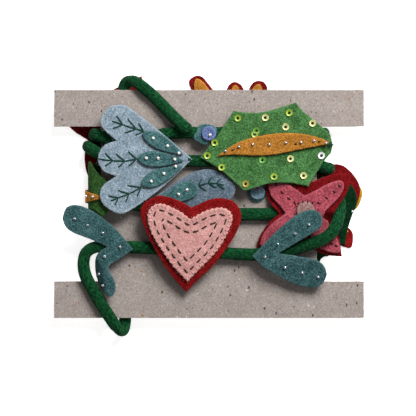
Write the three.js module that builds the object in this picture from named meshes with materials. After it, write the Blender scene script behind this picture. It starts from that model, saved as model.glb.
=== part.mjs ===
// A felt garland wound on its H-shaped winding card.
//
// Millimetres, +Z up. The card lies flat and the garland is wound round its web: four passes of
// the felt rope over the front, four under the back, and the cut felt leaves, flowers and heart
// that are sewn to the rope. +X runs along the card's bars and +Y across them.

import * as THREE from 'three';

// Driving sizes

const felt = 1.6; // thickness of one felt sheet
const gap = 0.35; // room between one piece and the next
const rope = { width: 8.2, depth: 6.2, sides: 10, stepsPerPoint: 2 };
const card = {
  length: 203, top: 74.4, bottom: -75, bar: 24, web: 141.4, under: 10.5, thick: 2,
};

// Levels: heights of the middle of a lone sheet or of the rope

const layer = felt + gap; // from the middle of one sheet to the middle of the next
const onBent = 1.12; // a sheet sewn on a bent one, in layers
const onFloor = felt / 2;
const onCard = card.under + card.thick + gap + felt / 2;
const ropeFront = card.under + card.thick + 0.4 + rope.depth / 2;
const ropeBack = card.under - 0.4 - rope.depth / 2;
const onRope = ropeFront + rope.depth / 2 + 0.4 + felt / 2;

// Colours of the felts and the board

const colour = {
  board: 0xa59a93,
  rope: 0x0f5a30,
  blue: 0xa9bfcc,
  slate: 0x93a6b4,
  teal: 0x4a7f7b,
  deepTeal: 0x3f7a76,
  holly: 0x4b9446,
  hollyShade: 0x3f7a35,
  mustard: 0xc47a24,
  red: 0xa3151a,
  wine: 0x8d1419,
  pink: 0xe0a29b,
  rose: 0xb9495c,
  blush: 0xd99a93,
  violet: 0x7a86c8,
  sky: 0x8ba3b5,
  yellow: 0xd9a22c,
  pine: 0x14482c,
};

const garland = new THREE.Group();

function addPiece(name, geometry, hex, roughness = 0.95) {
  const material = new THREE.MeshStandardMaterial({ color: hex, roughness, metalness: 0 });
  const mesh = new THREE.Mesh(geometry, material);
  mesh.name = name;
  garland.add(mesh);
}

// Outlines: rows of x, y and whether the outline has a corner there. Between corners the
// outline is a smooth curve through the rows.

const CORNER = true;

function spanPoint(before, from, to, after, t) {
  const start = from[2] ? from : before;
  const finish = to[2] ? to : after;
  const blend = (k) => {
    const pull = (to[k] - start[k]) / 2;
    const push = (finish[k] - from[k]) / 2;
    const a = 2 * from[k] - 2 * to[k] + pull + push;
    const b = -3 * from[k] + 3 * to[k] - 2 * pull - push;
    return ((a * t + b) * t + pull) * t + from[k];
  };
  return [blend(0), blend(1)];
}

function smoothLine(rows, closed, perSpan) {
  const count = rows.length;
  const at = (i) => (closed ? rows[(i + count) % count] : rows[Math.min(Math.max(i, 0), count - 1)]);
  const points = [];
  const spans = closed ? count : count - 1;
  for (let i = 0; i < spans; i += 1) {
    for (let k = 0; k < perSpan; k += 1) {
      points.push(spanPoint(at(i - 1), at(i), at(i + 1), at(i + 2), k / perSpan));
    }
  }
  if (!closed) points.push([at(count - 1)[0], at(count - 1)[1]]);
  return points;
}

function evenPoints(line, count) {
  const lengths = [0];
  for (let i = 1; i < line.length; i += 1) {
    lengths.push(lengths[i - 1] + Math.hypot(line[i][0] - line[i - 1][0], line[i][1] - line[i - 1][1]));
  }
  const total = lengths[lengths.length - 1];
  const points = [];
  let i = 0;
  for (let k = 0; k <= count; k += 1) {
    const want = (total * k) / count;
    while (i < line.length - 2 && lengths[i + 1] < want) i += 1;
    const t = (want - lengths[i]) / (lengths[i + 1] - lengths[i]);
    points.push([0, 1].map((c) => line[i][c] + (line[i + 1][c] - line[i][c]) * t));
  }
  return points;
}

// Flat meshes of an outline: rings round a centre, or ribs between two sides

function ringMesh({ rows, centre, rings = 3, perSpan = 3 }) {
  const edge = smoothLine(rows, true, perSpan);
  const points = [centre];
  const faces = [];
  for (let r = 1; r <= rings; r += 1) {
    for (const [x, y] of edge) {
      points.push([centre[0] + ((x - centre[0]) * r) / rings, centre[1] + ((y - centre[1]) * r) / rings]);
    }
  }
  const n = edge.length;
  const index = (r, k) => 1 + (r - 1) * n + (k % n);
  for (let k = 0; k < n; k += 1) {
    faces.push([0, index(1, k), index(1, k + 1)]);
    for (let r = 1; r < rings; r += 1) {
      faces.push([index(r, k), index(r + 1, k), index(r + 1, k + 1)]);
      faces.push([index(r, k), index(r + 1, k + 1), index(r, k + 1)]);
    }
  }
  return { points, faces };
}

function ribMesh({ start, end, left, right, ribs = 16, across = 2 }) {
  const sides = [left, right].map((rows) => {
    const line = smoothLine([[...start, CORNER], ...rows, [...end, CORNER]], false, 6);
    return evenPoints(line, ribs);
  });
  const points = [start, end];
  const faces = [];
  const index = (rib, k) => {
    if (rib === 0) return 0;
    if (rib === ribs) return 1;
    return 2 + (rib - 1) * (across + 1) + k;
  };
  for (let rib = 1; rib < ribs; rib += 1) {
    for (let k = 0; k <= across; k += 1) {
      points.push([0, 1].map((c) => {
        const from = sides[0][rib][c];
        return from + ((sides[1][rib][c] - from) * k) / across;
      }));
    }
  }
  for (let rib = 0; rib < ribs; rib += 1) {
    for (let k = 0; k < across; k += 1) {
      const corners = [index(rib, k), index(rib + 1, k), index(rib + 1, k + 1), index(rib, k + 1)];
      if (corners[0] !== corners[3]) faces.push([corners[0], corners[2], corners[3]]);
      if (corners[1] !== corners[2]) faces.push([corners[0], corners[1], corners[2]]);
    }
  }
  return { points, faces };
}

function petalMesh({ from, to, half, ribs = 8, fullness = 1.6 }) {
  const axis = new THREE.Vector2(to[0] - from[0], to[1] - from[1]);
  const side = new THREE.Vector2(-axis.y, axis.x).normalize();
  const rows = [1, -1].map((sign) => {
    const line = [];
    for (let k = 1; k < ribs; k += 1) {
      const t = (1 - Math.cos((Math.PI * k) / ribs)) / 2;
      const w = sign * half * Math.sin(Math.PI * t ** fullness) ** 0.55;
      line.push([from[0] + axis.x * t + side.x * w, from[1] + axis.y * t + side.y * w]);
    }
    return line;
  });
  return ribMesh({ start: from, end: to, left: rows[0], right: rows[1], ribs });
}

function discMesh({ centre, radius, sides = 16 }) {
  const rows = [];
  for (let k = 0; k < sides; k += 1) {
    const turn = (2 * Math.PI * k) / sides;
    rows.push([centre[0] + radius * Math.cos(turn), centre[1] + radius * Math.sin(turn)]);
  }
  return ringMesh({ rows, centre, rings: 1, perSpan: 1 });
}

// Lie of a sheet: how high its middle is at x, y. A bend starts at a line through (x, y) across
// its heading, eases in over a short way and then climbs by `rise` for each millimetre.

const EASE = 4;

function climb(distance, ease = EASE) {
  if (distance <= 0) return 0;
  return distance < ease ? (distance * distance) / (2 * ease) : distance - ease / 2;
}

function along(x, y, bend) {
  const heading = THREE.MathUtils.degToRad(bend.heading);
  return (x - bend.x) * Math.cos(heading) + (y - bend.y) * Math.sin(heading);
}

function lie(level, bends = []) {
  return (x, y) => bends.reduce((z, b) => z + b.rise * climb(along(x, y, b), b.ease), level);
}

function onHeight(height) {
  const step = 0.05;
  return (x, y) => {
    const slopeX = (height(x + step, y) - height(x - step, y)) / (2 * step);
    const slopeY = (height(x, y + step) - height(x, y - step)) / (2 * step);
    return {
      point: new THREE.Vector3(x, y, height(x, y)),
      normal: new THREE.Vector3(-slopeX, -slopeY, 1).normalize(),
    };
  };
}

// A sheet is the flat mesh carried onto its lie and given the felt's thickness. `over` counts
// the sheets that it is sewn on top of.

function sheetGeometry({ points, faces }, place, over = 0) {
  const seats = points.map(([x, y]) => place(x, y));
  const facing = faces.reduce((sum, [a, b, c]) => {
    const side = new THREE.Vector3().subVectors(seats[b].point, seats[a].point);
    const other = new THREE.Vector3().subVectors(seats[c].point, seats[a].point);
    return sum + side.cross(other).dot(seats[a].normal);
  }, 0);
  const upper = facing < 0 ? faces.map(([a, b, c]) => [a, c, b]) : faces;
  const count = points.length;
  const positions = new Float32Array(count * 6);
  seats.forEach(({ point, normal }, i) => {
    const outer = point.clone().addScaledVector(normal, over * layer + felt / 2);
    const inner = point.clone().addScaledVector(normal, over * layer - felt / 2);
    outer.toArray(positions, i * 3);
    inner.toArray(positions, (count + i) * 3);
  });
  const rim = new Map();
  for (const face of upper) {
    for (let k = 0; k < 3; k += 1) {
      const [a, b] = [face[k], face[(k + 1) % 3]];
      if (rim.has(`${b} ${a}`)) rim.delete(`${b} ${a}`);
      else rim.set(`${a} ${b}`, [a, b]);
    }
  }
  const index = [];
  for (const [a, b, c] of upper) index.push(a, b, c, count + a, count + c, count + b);
  for (const [a, b] of rim.values()) index.push(b, a, count + a, b, count + a, count + b);
  const geometry = new THREE.BufferGeometry();
  geometry.setAttribute('position', new THREE.BufferAttribute(positions, 3));
  geometry.setIndex(index);
  geometry.computeVertexNormals();
  return geometry;
}

function addSheet(name, hex, mesh, place, over = 0) {
  addPiece(name, sheetGeometry(mesh, place, over), hex);
}

// Moves a mesh drawn from a leaf's tip along its axis into place

function fromTip(mesh, { x, y, heading, side, scale = 1 }) {
  const turn = THREE.MathUtils.degToRad(heading);
  const [c, s] = [Math.cos(turn) * scale, Math.sin(turn) * scale];
  const points = mesh.points.map(([u, v]) => [x + u * c - side * v * s, y + u * s + side * v * c]);
  return { points, faces: mesh.faces };
}

// Winding card

function cardGeometry() {
  const [end, web] = [card.length / 2, card.web / 2];
  const [upper, lower] = [card.top - card.bar, card.bottom + card.bar];
  const outline = new THREE.Shape([
    [-end, card.bottom], [end, card.bottom], [end, lower], [web, lower], [web, upper], [end, upper],
    [end, card.top], [-end, card.top], [-end, upper], [-web, upper], [-web, lower], [-end, lower],
  ].map(([x, y]) => new THREE.Vector2(x, y)));
  const geometry = new THREE.ExtrudeGeometry(outline, { depth: card.thick, bevelEnabled: false });
  return geometry.translate(0, 0, card.under);
}

addPiece('card', cardGeometry(), colour.board, 0.9);

// Felt rope: x, y, z of its middle from the end tucked under the bottom bar to the end by the
// small violet flower

const F = ropeFront;
const B = ropeBack;
const ropeRoute = [
  // end under the bottom bar and its turn round the bar's edge
  [-55.5, -60, B], [-55, -70, B], [-55.3, -78.5, B + 0.1], [-56.5, -83.2, B + 2.3],
  [-58.5, -83.6, B + 5.5], [-61.5, -79.5, F - 0.4], [-66.2, -72.4, F], [-72, -63.2, F],
  [-76.6, -55.3, F], [-80.6, -47.5, F], [-82, -38.5, F], [-80, -32, F], [-74.5, -28.6, F],
  // fourth pass over the front, rising over a leaf and a petal
  [-66, -28, F], [-51.7, -28.5, F], [-28.8, -29.5, F + 1.2], [-12.4, -30.5, F + 2.4],
  [4, -31.8, F + 2.4], [20.3, -33.1, F + 1.2], [36, -33.3, F + 1.2], [48, -31.8, F + 1.8],
  [61.6, -27.8, F + 3.7], [71.8, -24.2, F + 4.9], [78.8, -20, F + 5.2], [82.8, -14.4, F + 3.9],
  [84.9, -8.4, F + 0.9], [85.6, -3, F - 1.8], [85.3, 1.6, F - 4.4], [83, 4.9, B + 2.1],
  [78.6, 5.6, B + 0.2], [71, 4.9, B], [60, 4.4, B], [20, 2.4, B], [-20, 1.5, B], [-50, 3, B],
  // left turn under the wrapped holly leaf, then the third pass
  [-64, 4, B], [-70.7, 4.3, B - 0.1], [-73.6, 4, B + 1.4], [-74.4, 3.5, B + 4.5],
  [-73.6, 3, F - 1.4], [-70.7, 2.6, F + 0.1], [-64, 1.5, F], [-50, -0.8, F], [-25, -4, F],
  [5, -6.5, F], [25, -7, F], [40, -6.6, F], [51, -3.6, F], [60, 1.8, F], [67, 7.2, F],
  // right turn and the way back up to the loose loop
  [71.6, 11, F + 0.1], [75.1, 13.3, F - 1.4], [76.4, 14.2, F - 4.5], [75, 14.4, B + 1.4],
  [71.2, 14.6, B - 0.1], [60, 15.6, B], [20, 21.4, B], [-20, 27, B], [-50, 31, B], [-66, 34.2, B],
  [-73, 36.1, B + 0.3], [-78.3, 37.3, B + 2.2], [-80, 37.3, B + 5], [-78.4, 36.3, F - 1],
  // second pass
  [-74, 33.6, F + 0.2], [-67.5, 30.4, F], [-57, 28.6, F], [-25, 28.3, F], [-5, 27.9, F],
  [20, 29.5, F], [45, 31.4, F], [60, 30, F], [69, 26.4, F + 0.1], [76, 23.6, F - 0.8],
  [79.5, 22.7, F - 4], [78, 22.7, B + 1.8], [71.5, 23.8, B + 0.1], [62, 26.4, B],
  [20, 33, B], [-20, 38.5, B], [-50, 43, B], [-64, 44.5, B],
  // first pass
  [-70.7, 45, B - 0.1], [-74.6, 45.1, B + 1.6], [-76, 45.1, B + 4.5], [-74.6, 45.1, F - 1.5],
  [-70.7, 43.8, F + 0.1], [-64, 41, F], [-52, 40.6, F], [-25, 46.2, F], [0, 46, F],
  [33, 46, F], [60, 45.8, F], [70.7, 45.7, F + 0.1], [74.6, 45.7, F - 1.5],
  [76.1, 45.7, F - 4.5], [74.6, 45.7, B + 1.6], [70.7, 45.7, B - 0.1], [62, 45.8, B],
  // under the top bar, over its edge and down to the free end
  [20, 47, B], [-15, 51, B], [-40, 58, B], [-52, 66, B], [-55.8, 73.4, B - 0.1],
  [-54.4, 78.8, B + 1.7], [-49.8, 80, F - 3.4], [-44.5, 77, F - 0.4], [-39.5, 72.9, F + 0.2],
  [-33.4, 67.1, F], [-27, 60.6, F + 0.7], [-21.5, 55, F + 3.4], [-17.5, 51.2, F + 6.1],
  [-12.6, 46.8, F + 6.7],
].map(([x, y, z]) => new THREE.Vector3(x, y, z));

// The rope is a flattened round: its thin way keeps to the card's normal, except where the rope
// goes round an edge, and there it is carried along the curve.

class RopePath extends THREE.CatmullRomCurve3 {
  getSpacedPoints(divisions) {
    return this.getPoints(divisions);
  }

  computeFrenetFrames(segments) {
    const up = new THREE.Vector3(0, 0, 1);
    const tangents = [];
    const normals = [];
    const binormals = [];
    let normal = up.clone();
    for (let i = 0; i <= segments; i += 1) {
      const tangent = this.getTangent(i / segments);
      normal = normal.clone().addScaledVector(tangent, -normal.dot(tangent)).normalize();
      const steep = Math.abs(tangent.dot(up));
      if (steep < 0.6) {
        const flat = up.clone().addScaledVector(tangent, -up.dot(tangent)).normalize();
        if (flat.dot(normal) < 0) flat.negate();
        normal.lerp(flat, 0.7).normalize();
      }
      tangents.push(tangent);
      normals.push(normal);
      binormals.push(new THREE.Vector3().crossVectors(tangent, normal));
    }
    return { tangents, normals, binormals };
  }
}

function ropeGeometry() {
  const section = new THREE.Shape(Array.from({ length: rope.sides }, (_, k) => {
    const turn = (2 * Math.PI * k) / rope.sides;
    return new THREE.Vector2((rope.depth / 2) * Math.cos(turn), (rope.width / 2) * Math.sin(turn));
  }));
  const path = new RopePath(ropeRoute, false, 'centripetal');
  const steps = (ropeRoute.length - 1) * rope.stepsPerPoint;
  return new THREE.ExtrudeGeometry(section, { extrudePath: path, steps, bevelEnabled: false });
}

addPiece('rope', ropeGeometry(), colour.rope);

// Three-lobed blue leaves. The leaf is drawn from its tip along its axis.

const threeLobes = ringMesh({
  centre: [28, 0],
  perSpan: 2,
  rows: [
    [0, 0, CORNER], [19.5, -18.6], [40, -33.2], [48.5, -35.4], [57.6, -30], [60.2, -22.8],
    [57.4, -16.6], [49.4, -11.3, CORNER], [57.6, -8], [61.5, 0], [57.8, 8.4],
    [49.4, 11.9, CORNER], [58.1, 19.8], [59.6, 26], [54.5, 33.6], [46.4, 35.1], [40, 32.6],
    [19.5, 16.6],
  ],
});
const lobePetals = [
  { name: 'upper', from: [6, 2.6], to: [32.5, 17], half: 4.9 },
  { name: 'middle', from: [5.5, -1], to: [35.6, 0.4], half: 5.1 },
  { name: 'lower', from: [6, -4.4], to: [33.4, -16.8], half: 5.1 },
];

const frontLeaf = { x: -10.8, y: 29, heading: 180, side: -1 };
const frontLeafLie = onHeight(lie(onRope, [
  { x: -12, y: 29, heading: 180, rise: 0.075 },
  { x: -46, y: 29, heading: 90, rise: -0.05 },
]));
addSheet('blue_leaf', colour.blue, fromTip(threeLobes, frontLeaf), frontLeafLie);
for (const petal of lobePetals) {
  const mesh = fromTip(petalMesh(petal), frontLeaf);
  addSheet(`blue_leaf_${petal.name}_petal`, colour.teal, mesh, frontLeafLie, onBent);
}

const dipStart = -11.4;
const dipLength = 11.6;
const dipRise = (onRope - onCard) / dipLength;
const backLeafLie = onHeight(lie(onRope, [
  { x: 0, y: 10, heading: 90, rise: -0.25 },
  { x: 0, y: dipStart, heading: -90, rise: -dipRise },
  { x: 0, y: dipStart - dipLength, heading: -90, rise: dipRise },
]));
addSheet('slate_leaf', colour.slate, ringMesh({
  centre: [-14.5, -6.6],
  perSpan: 2,
  rows: [
    [-38.6, -3.0, CORNER], [-24.2, -21.5], [-8.5, -36.8], [-1.5, -39.8], [7.0, -36.3],
    [10.2, -30.4], [8.6, -24.7], [2.4, -19.1, CORNER], [9.9, -17.4], [14.3, -11.0],
    [12.2, -3.6], [5.6, -1.4, CORNER], [11.5, 1.2], [15.2, 3.8], [17.1, 7.9], [16.6, 12.6],
    [11.6, 17.6], [6.2, 21], [-0.1, 22.4], [-8.3, 21.1], [-13.8, 18.6], [-21.9, 13.9],
    [-30, 8], [-36.4, 2.8],
  ],
}), backLeafLie);
addSheet('slate_leaf_petal', colour.teal, ringMesh({
  centre: [-19, 5],
  rings: 2,
  perSpan: 2,
  rows: [
    [-36.5, -2.8, CORNER], [-34.4, 2.2], [-30, 6], [-25, 9.5], [-20, 12.4], [-15, 14],
    [-11, 13.5], [-7.9, 11.2], [-6.9, 8.6], [-8.3, 5.8], [-12.8, 2.7], [-17.4, 1.3],
    [-24, -0.8], [-31, -2.8],
  ],
}), backLeafLie, 1);

// Holly leaf with its long mustard vein

const hollyLie = onHeight(lie(onRope + 0.2, [
  { x: 0, y: 31, heading: -90, rise: 0.15 },
  { x: 70, y: 40, heading: 0, rise: 0.12 },
]));
addSheet('holly_leaf', colour.holly, ribMesh({
  start: [-5.9, 30],
  end: [80.6, 38],
  ribs: 22,
  across: 4,
  left: [
    [5.1, 43.8], [16, 60.4, CORNER], [27.8, 59.1], [38.7, 60.3], [56.6, 65.9, CORNER],
    [60.7, 60.8], [68, 54.6], [78.9, 45.6, CORNER],
  ],
  right: [
    [2.2, 25.3], [9.5, 20.2], [23, 8.1, CORNER], [30.7, 10.3], [38.7, 12.9], [52, 13.4],
    [64.6, 11.1, CORNER], [70.2, 20.2], [74.5, 27], [79.6, 33, CORNER],
  ],
}), hollyLie);
addSheet('holly_vein', colour.mustard, ribMesh({
  start: [5.2, 31],
  end: [79.4, 38.8],
  ribs: 16,
  left: [[19.7, 40], [38.7, 45], [58, 45.6], [73.5, 42.2]],
  right: [[16.8, 31.7], [38.7, 31.4], [64.3, 36.2]],
}), hollyLie, onBent);

// Heart: a red sheet with a smaller pink one on it

const heartLie = onHeight(lie(onRope + 2 * layer + 0.4, [
  { x: 0, y: -5, heading: -90, rise: -0.075 },
  { x: 0, y: -36, heading: -90, rise: -0.12 },
]));
addSheet('heart_red', colour.red, ringMesh({
  centre: [-13, -21],
  rings: 3,
  perSpan: 2,
  rows: [
    [-14.9, -57.8, CORNER], [-26.8, -43.6], [-38.6, -23.6], [-44.5, -7.3], [-42.6, -0.4],
    [-38, 3], [-31.4, 5.2], [-20.5, 2.3], [-11.2, -2.6, CORNER], [-0.6, 2.2], [7.5, 3.5],
    [16.6, 0.8], [21, -8.7], [15.9, -22.4], [3.1, -39.9], [-6.2, -48.8],
  ],
}), heartLie);
addSheet('heart_pink', colour.pink, ringMesh({
  centre: [-13, -20],
  rings: 2,
  perSpan: 2,
  rows: [
    [-14.1, -50.9, CORNER], [-25.9, -37.6], [-36.9, -20.6], [-40.3, -8.2], [-37.4, -1.9],
    [-30.9, 0.2], [-20.5, -4], [-11.9, -9.6, CORNER], [-2, -4.4], [8.4, -2.4], [15, -6.8],
    [14.1, -15.1], [5.8, -30.2], [-6.6, -43],
  ],
}), heartLie, onBent);

// Two-lobed teal leaves. The lower lobe of the left one is pushed round by the rope, so it
// turns down and rolls over towards its outer side.

const crease = { x: -69.3, y: -38, heading: 191.5, rise: -1.25, ease: 2.5 };
const rollLength = 8;
function curledHeight(x, y) {
  const t = THREE.MathUtils.clamp((-33 - y) / rollLength, 0, 1);
  const rolled = t * t * (3 - 2 * t);
  return onRope + rolled * crease.rise * climb(along(x, y, crease), crease.ease);
}
addSheet('teal_leaf_left', colour.deepTeal, ribMesh({
  start: [-95.6, -9.4],
  end: [-65.5, -61],
  ribs: 26,
  across: 4,
  left: [
    [-93.3, -3], [-88.5, -0.9], [-82.5, -1.9], [-73.4, -6.4], [-60.3, -17.2],
    [-49.5, -29.9, CORNER], [-58.8, -36.5], [-64.4, -40], [-65.2, -43.5], [-62.4, -48.5],
    [-60.8, -53.8], [-62.2, -59.6],
  ],
  right: [
    [-93.6, -15], [-88.4, -19], [-77.7, -23.2], [-66.4, -28.2, CORNER], [-71.6, -31.6],
    [-73.9, -35.6], [-74.2, -42], [-72.8, -50], [-69, -57.6],
  ],
}), onHeight(curledHeight));

const rightLeafLie = onHeight(lie(onRope + 1.5, [
  { x: 32.9, y: -30.9, heading: 35, rise: 0.17 },
  { x: 45, y: -38, heading: 305, rise: -0.22 },
]));
addSheet('teal_leaf_right', colour.deepTeal, ribMesh({
  start: [73.8, -11.6],
  end: [76.9, -46.2],
  ribs: 26,
  across: 3,
  left: [
    [72.2, -6.6], [68, -4.2], [62, -4.8], [55.5, -8.2], [44.7, -17.2], [28.2, -34.3, CORNER],
    [36.6, -42.1], [52.9, -51.4], [61, -54], [68.5, -55], [74.4, -51.8],
  ],
  right: [
    [71.8, -16.2], [62.7, -22], [45.3, -32.4, CORNER], [61, -34.9], [70, -37], [75, -40.8],
  ],
}), rightLeafLie);

// Four-petal flower. Each petal bends by itself: it starts at a distance from the centre,
// falls by `fall` for each millimetre and, where `depth` is given, goes level that far down.

const flower = { x: 62.9, y: -4.7 };
const hold = { full: 20, none: 42 };
const wideHold = { full: 28, none: 52 };
const petals = [
  { heading: 40, start: 22, fall: -0.06 },
  { heading: 140, start: 10, fall: 0.3 },
  { heading: 217.6, start: 18, fall: 0.3 },
  { heading: -51.2, start: 4, fall: 0.57, depth: onRope - onCard, held: wideHold },
];

function flowerHeight(x, y) {
  const [dx, dy] = [x - flower.x, y - flower.y];
  const heading = THREE.MathUtils.radToDeg(Math.atan2(dy, dx));
  let z = onRope;
  for (const petal of petals) {
    const off = Math.abs(((heading - petal.heading + 540) % 360) - 180);
    const { full, none } = petal.held ?? hold;
    const t = THREE.MathUtils.clamp((none - off) / (none - full), 0, 1);
    const share = t * t * (3 - 2 * t);
    const distance = Math.hypot(dx, dy) - petal.start;
    const level = petal.depth ? climb(distance - petal.depth / petal.fall) : 0;
    z -= share * petal.fall * (climb(distance) - level);
  }
  return z;
}
const flowerLie = onHeight(flowerHeight);
addSheet('flower_red', colour.wine, ringMesh({
  centre: [flower.x, flower.y],
  rings: 4,
  perSpan: 2,
  rows: [
    [92, 19.8, CORNER], [82.8, 19.3], [74.6, 17.1], [67, 14.2], [59, 13.6, CORNER], [49, 15.8],
    [37.8, 15.6, CORNER], [37.1, 8.5], [39.6, 0.8], [45.9, -6.8, CORNER], [38.6, -13],
    [32.4, -23], [31.2, -29.1, CORNER], [42, -28.6], [53, -24.4], [61, -20.5, CORNER],
    [65, -26.4], [70.3, -30.7], [77.4, -33.8], [87.1, -34.8, CORNER], [85, -22.5], [81.4, -14],
    [80, -8.4, CORNER], [84.6, -1.2], [89.6, 6.6], [91.9, 13],
  ],
}), flowerLie);
addSheet('flower_rose', colour.rose, ringMesh({
  centre: [flower.x, flower.y],
  rings: 4,
  perSpan: 2,
  rows: [
    [62.1, 5.1, CORNER], [69.2, 8.4], [77.3, 12.8], [84.6, 15.2], [88, 12.4], [85.3, 5],
    [73.8, -6.6, CORNER], [78.6, -14.9], [84, -23.4], [85.2, -31.8], [78.4, -31.6],
    [70.6, -27.4], [62.4, -16.6, CORNER], [52, -21.6], [41, -26.6], [34.4, -27.2],
    [35.6, -20.4], [41.6, -12.8], [49.8, -6.4, CORNER], [44.7, -0.3], [40.9, 5.7],
    [39.6, 12.6], [47, 13.2], [55.4, 10],
  ],
}), flowerLie, onBent + 0.24);
const flowerDisc = discMesh({ centre: [flower.x, flower.y], radius: 5.9 });
addSheet('flower_centre', colour.blush, flowerDisc, flowerLie, 2 * onBent + 0.2);

// Small flowers: a wavy teal backing and a round felt disc

const violetLie = onHeight(lie(onRope));
addSheet('violet_flower_backing', colour.teal, ringMesh({
  centre: [-2, 45.4],
  rings: 1,
  perSpan: 2,
  rows: [
    [-10.2, 42.3], [-8.6, 46.6], [-6.2, 51], [-1, 51.8], [4, 50], [5.2, 46.4], [2.6, 42.6],
    [-2.2, 38.2], [-6, 39.6],
  ],
}), violetLie);
addSheet('violet_flower', colour.violet, discMesh({ centre: [-0.1, 45.7], radius: 4.8 }), violetLie, 1);

const skyLie = onHeight(lie(onCard));
addSheet('sky_flower_backing', colour.teal, discMesh({ centre: [31.2, 6.9], radius: 6 }), skyLie);
addSheet('sky_flower', colour.sky, discMesh({ centre: [31.8, 7.4], radius: 4.85 }), skyLie, 1);

// Holly leaf wrapped round the left edge of the web. It is drawn flat: x is the way along the
// wrap from the leaf's end on the front, y is the leaf's own y.

const wrap = { frontX: -62.5, sideX: -78.6, radius: 6.5, front: onRope, back: onFloor + layer };

function onWrap(u, y) {
  const turnX = wrap.sideX + wrap.radius;
  const quarter = (Math.PI / 2) * wrap.radius;
  const flat = wrap.frontX - turnX;
  const upright = wrap.front - wrap.back - 2 * wrap.radius;
  const legs = [flat, quarter, upright, quarter];
  let leg = 0;
  let rest = u;
  while (leg < legs.length && rest > legs[leg]) {
    rest -= legs[leg];
    leg += 1;
  }
  const [topZ, lowZ] = [wrap.front - wrap.radius, wrap.back + wrap.radius];
  const turn = rest / wrap.radius;
  const normal = [
    new THREE.Vector3(0, 0, 1),
    new THREE.Vector3(-Math.sin(turn), 0, Math.cos(turn)),
    new THREE.Vector3(-1, 0, 0),
    new THREE.Vector3(-Math.cos(turn), 0, -Math.sin(turn)),
    new THREE.Vector3(0, 0, -1),
  ][leg];
  const middle = [
    new THREE.Vector3(wrap.frontX - rest, y, topZ),
    new THREE.Vector3(turnX, y, topZ),
    new THREE.Vector3(turnX, y, topZ - rest),
    new THREE.Vector3(turnX, y, lowZ),
    new THREE.Vector3(turnX + rest, y, lowZ),
  ][leg];
  return { point: middle.addScaledVector(normal, wrap.radius), normal };
}

addSheet('wrapped_holly', colour.hollyShade, ribMesh({
  start: [0, 3.5],
  end: [82, 4.3],
  ribs: 30,
  across: 2,
  left: [
    [4.2, 14.5, CORNER], [9.5, 19.5], [16, 27.6, CORNER], [27, 25], [42, 31.5, CORNER],
    [52, 25], [66, 21.5, CORNER], [74, 12],
  ],
  right: [
    [3.5, -5.4], [7.1, -8.6, CORNER], [12.3, -4.4], [19, -2.6], [27, -6], [37, -19, CORNER],
    [50, -13.5], [64, -13, CORNER], [73, -3.5],
  ],
}), onWrap);
addSheet('wrapped_holly_vein', colour.mustard, ribMesh({
  start: [5.5, 3.6],
  end: [76, 4.3],
  ribs: 24,
  left: [[12, 6.2], [22, 8.6], [46, 9.4]],
  right: [[12, 1.9], [22, 0.6], [46, -0.4]],
}), onWrap, 1);

// Shapes on the back of the card, which the whole thing rests on

const floorLie = onHeight(lie(onFloor));
addSheet('back_flower_wine', colour.wine, ringMesh({
  centre: [-63.5, 49.5],
  rings: 2,
  perSpan: 2,
  rows: [
    [-44.4, 84.2, CORNER], [-41.9, 70], [-46.5, 59.5], [-50, 54, CORNER], [-39, 46], [-30.5, 33,
      CORNER], [-44, 29.5], [-56.5, 36, CORNER], [-63, 22], [-76.5, 10.8, CORNER], [-81, 21.6],
    [-82, 32.6], [-79.4, 41.5, CORNER], [-90, 48.5], [-98.4, 58.6, CORNER], [-84, 65.5],
    [-72, 64, CORNER], [-63, 75],
  ],
}), floorLie);
addSheet('back_fan_red', colour.wine, ringMesh({
  centre: [17, 48],
  rings: 3,
  perSpan: 2,
  rows: [
    [28, 49], [36, 62], [38.6, 74], [36.8, 79.6], [32.5, 81], [28.6, 79.3], [26.4, 75.6],
    [24.7, 71.5, CORNER], [23.4, 74.4], [21.2, 78.2], [17.4, 80.2], [13.5, 78.6], [10.8, 73],
    [8.4, 66, CORNER], [6, 70.6], [0, 78.5], [-5, 83.9], [-10, 83.8], [-13.2, 79], [-6, 66],
    [6, 52], [16, 38, CORNER],
  ],
}), floorLie);
const fanPetals = [
  { name: 'left', from: [7, 46], to: [-8.4, 82.4], half: 5 },
  { name: 'middle', from: [16.6, 44], to: [17.4, 78.3], half: 4.2 },
  { name: 'right', from: [23.5, 46], to: [33.2, 79], half: 4.7 },
];
for (const petal of fanPetals) {
  addSheet(`back_fan_${petal.name}_petal`, colour.mustard, petalMesh(petal), floorLie, 1);
}

addSheet('edge_petal_yellow', colour.yellow, ringMesh({
  centre: [86, 9],
  rings: 1,
  perSpan: 2,
  rows: [
    [81, 22], [90, 21.5], [96.4, 15.6], [100.9, 8.6], [100.5, 3], [97.2, -3.2], [90, -6.2],
    [80, -4.6], [73.4, 3.4], [73.6, 14],
  ],
}), floorLie);
addSheet('edge_petal_red', colour.wine, ringMesh({
  centre: [86, 9],
  rings: 1,
  perSpan: 2,
  rows: [
    [73.2, 23], [83, 26], [89.5, 24.2], [95.4, 18.8], [99.3, 11.5], [99, 4.5], [95.6, -1.4],
    [88, -3.8], [79.6, -2], [74.4, 4], [69, 13.6],
  ],
}), floorLie, 1);

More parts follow.
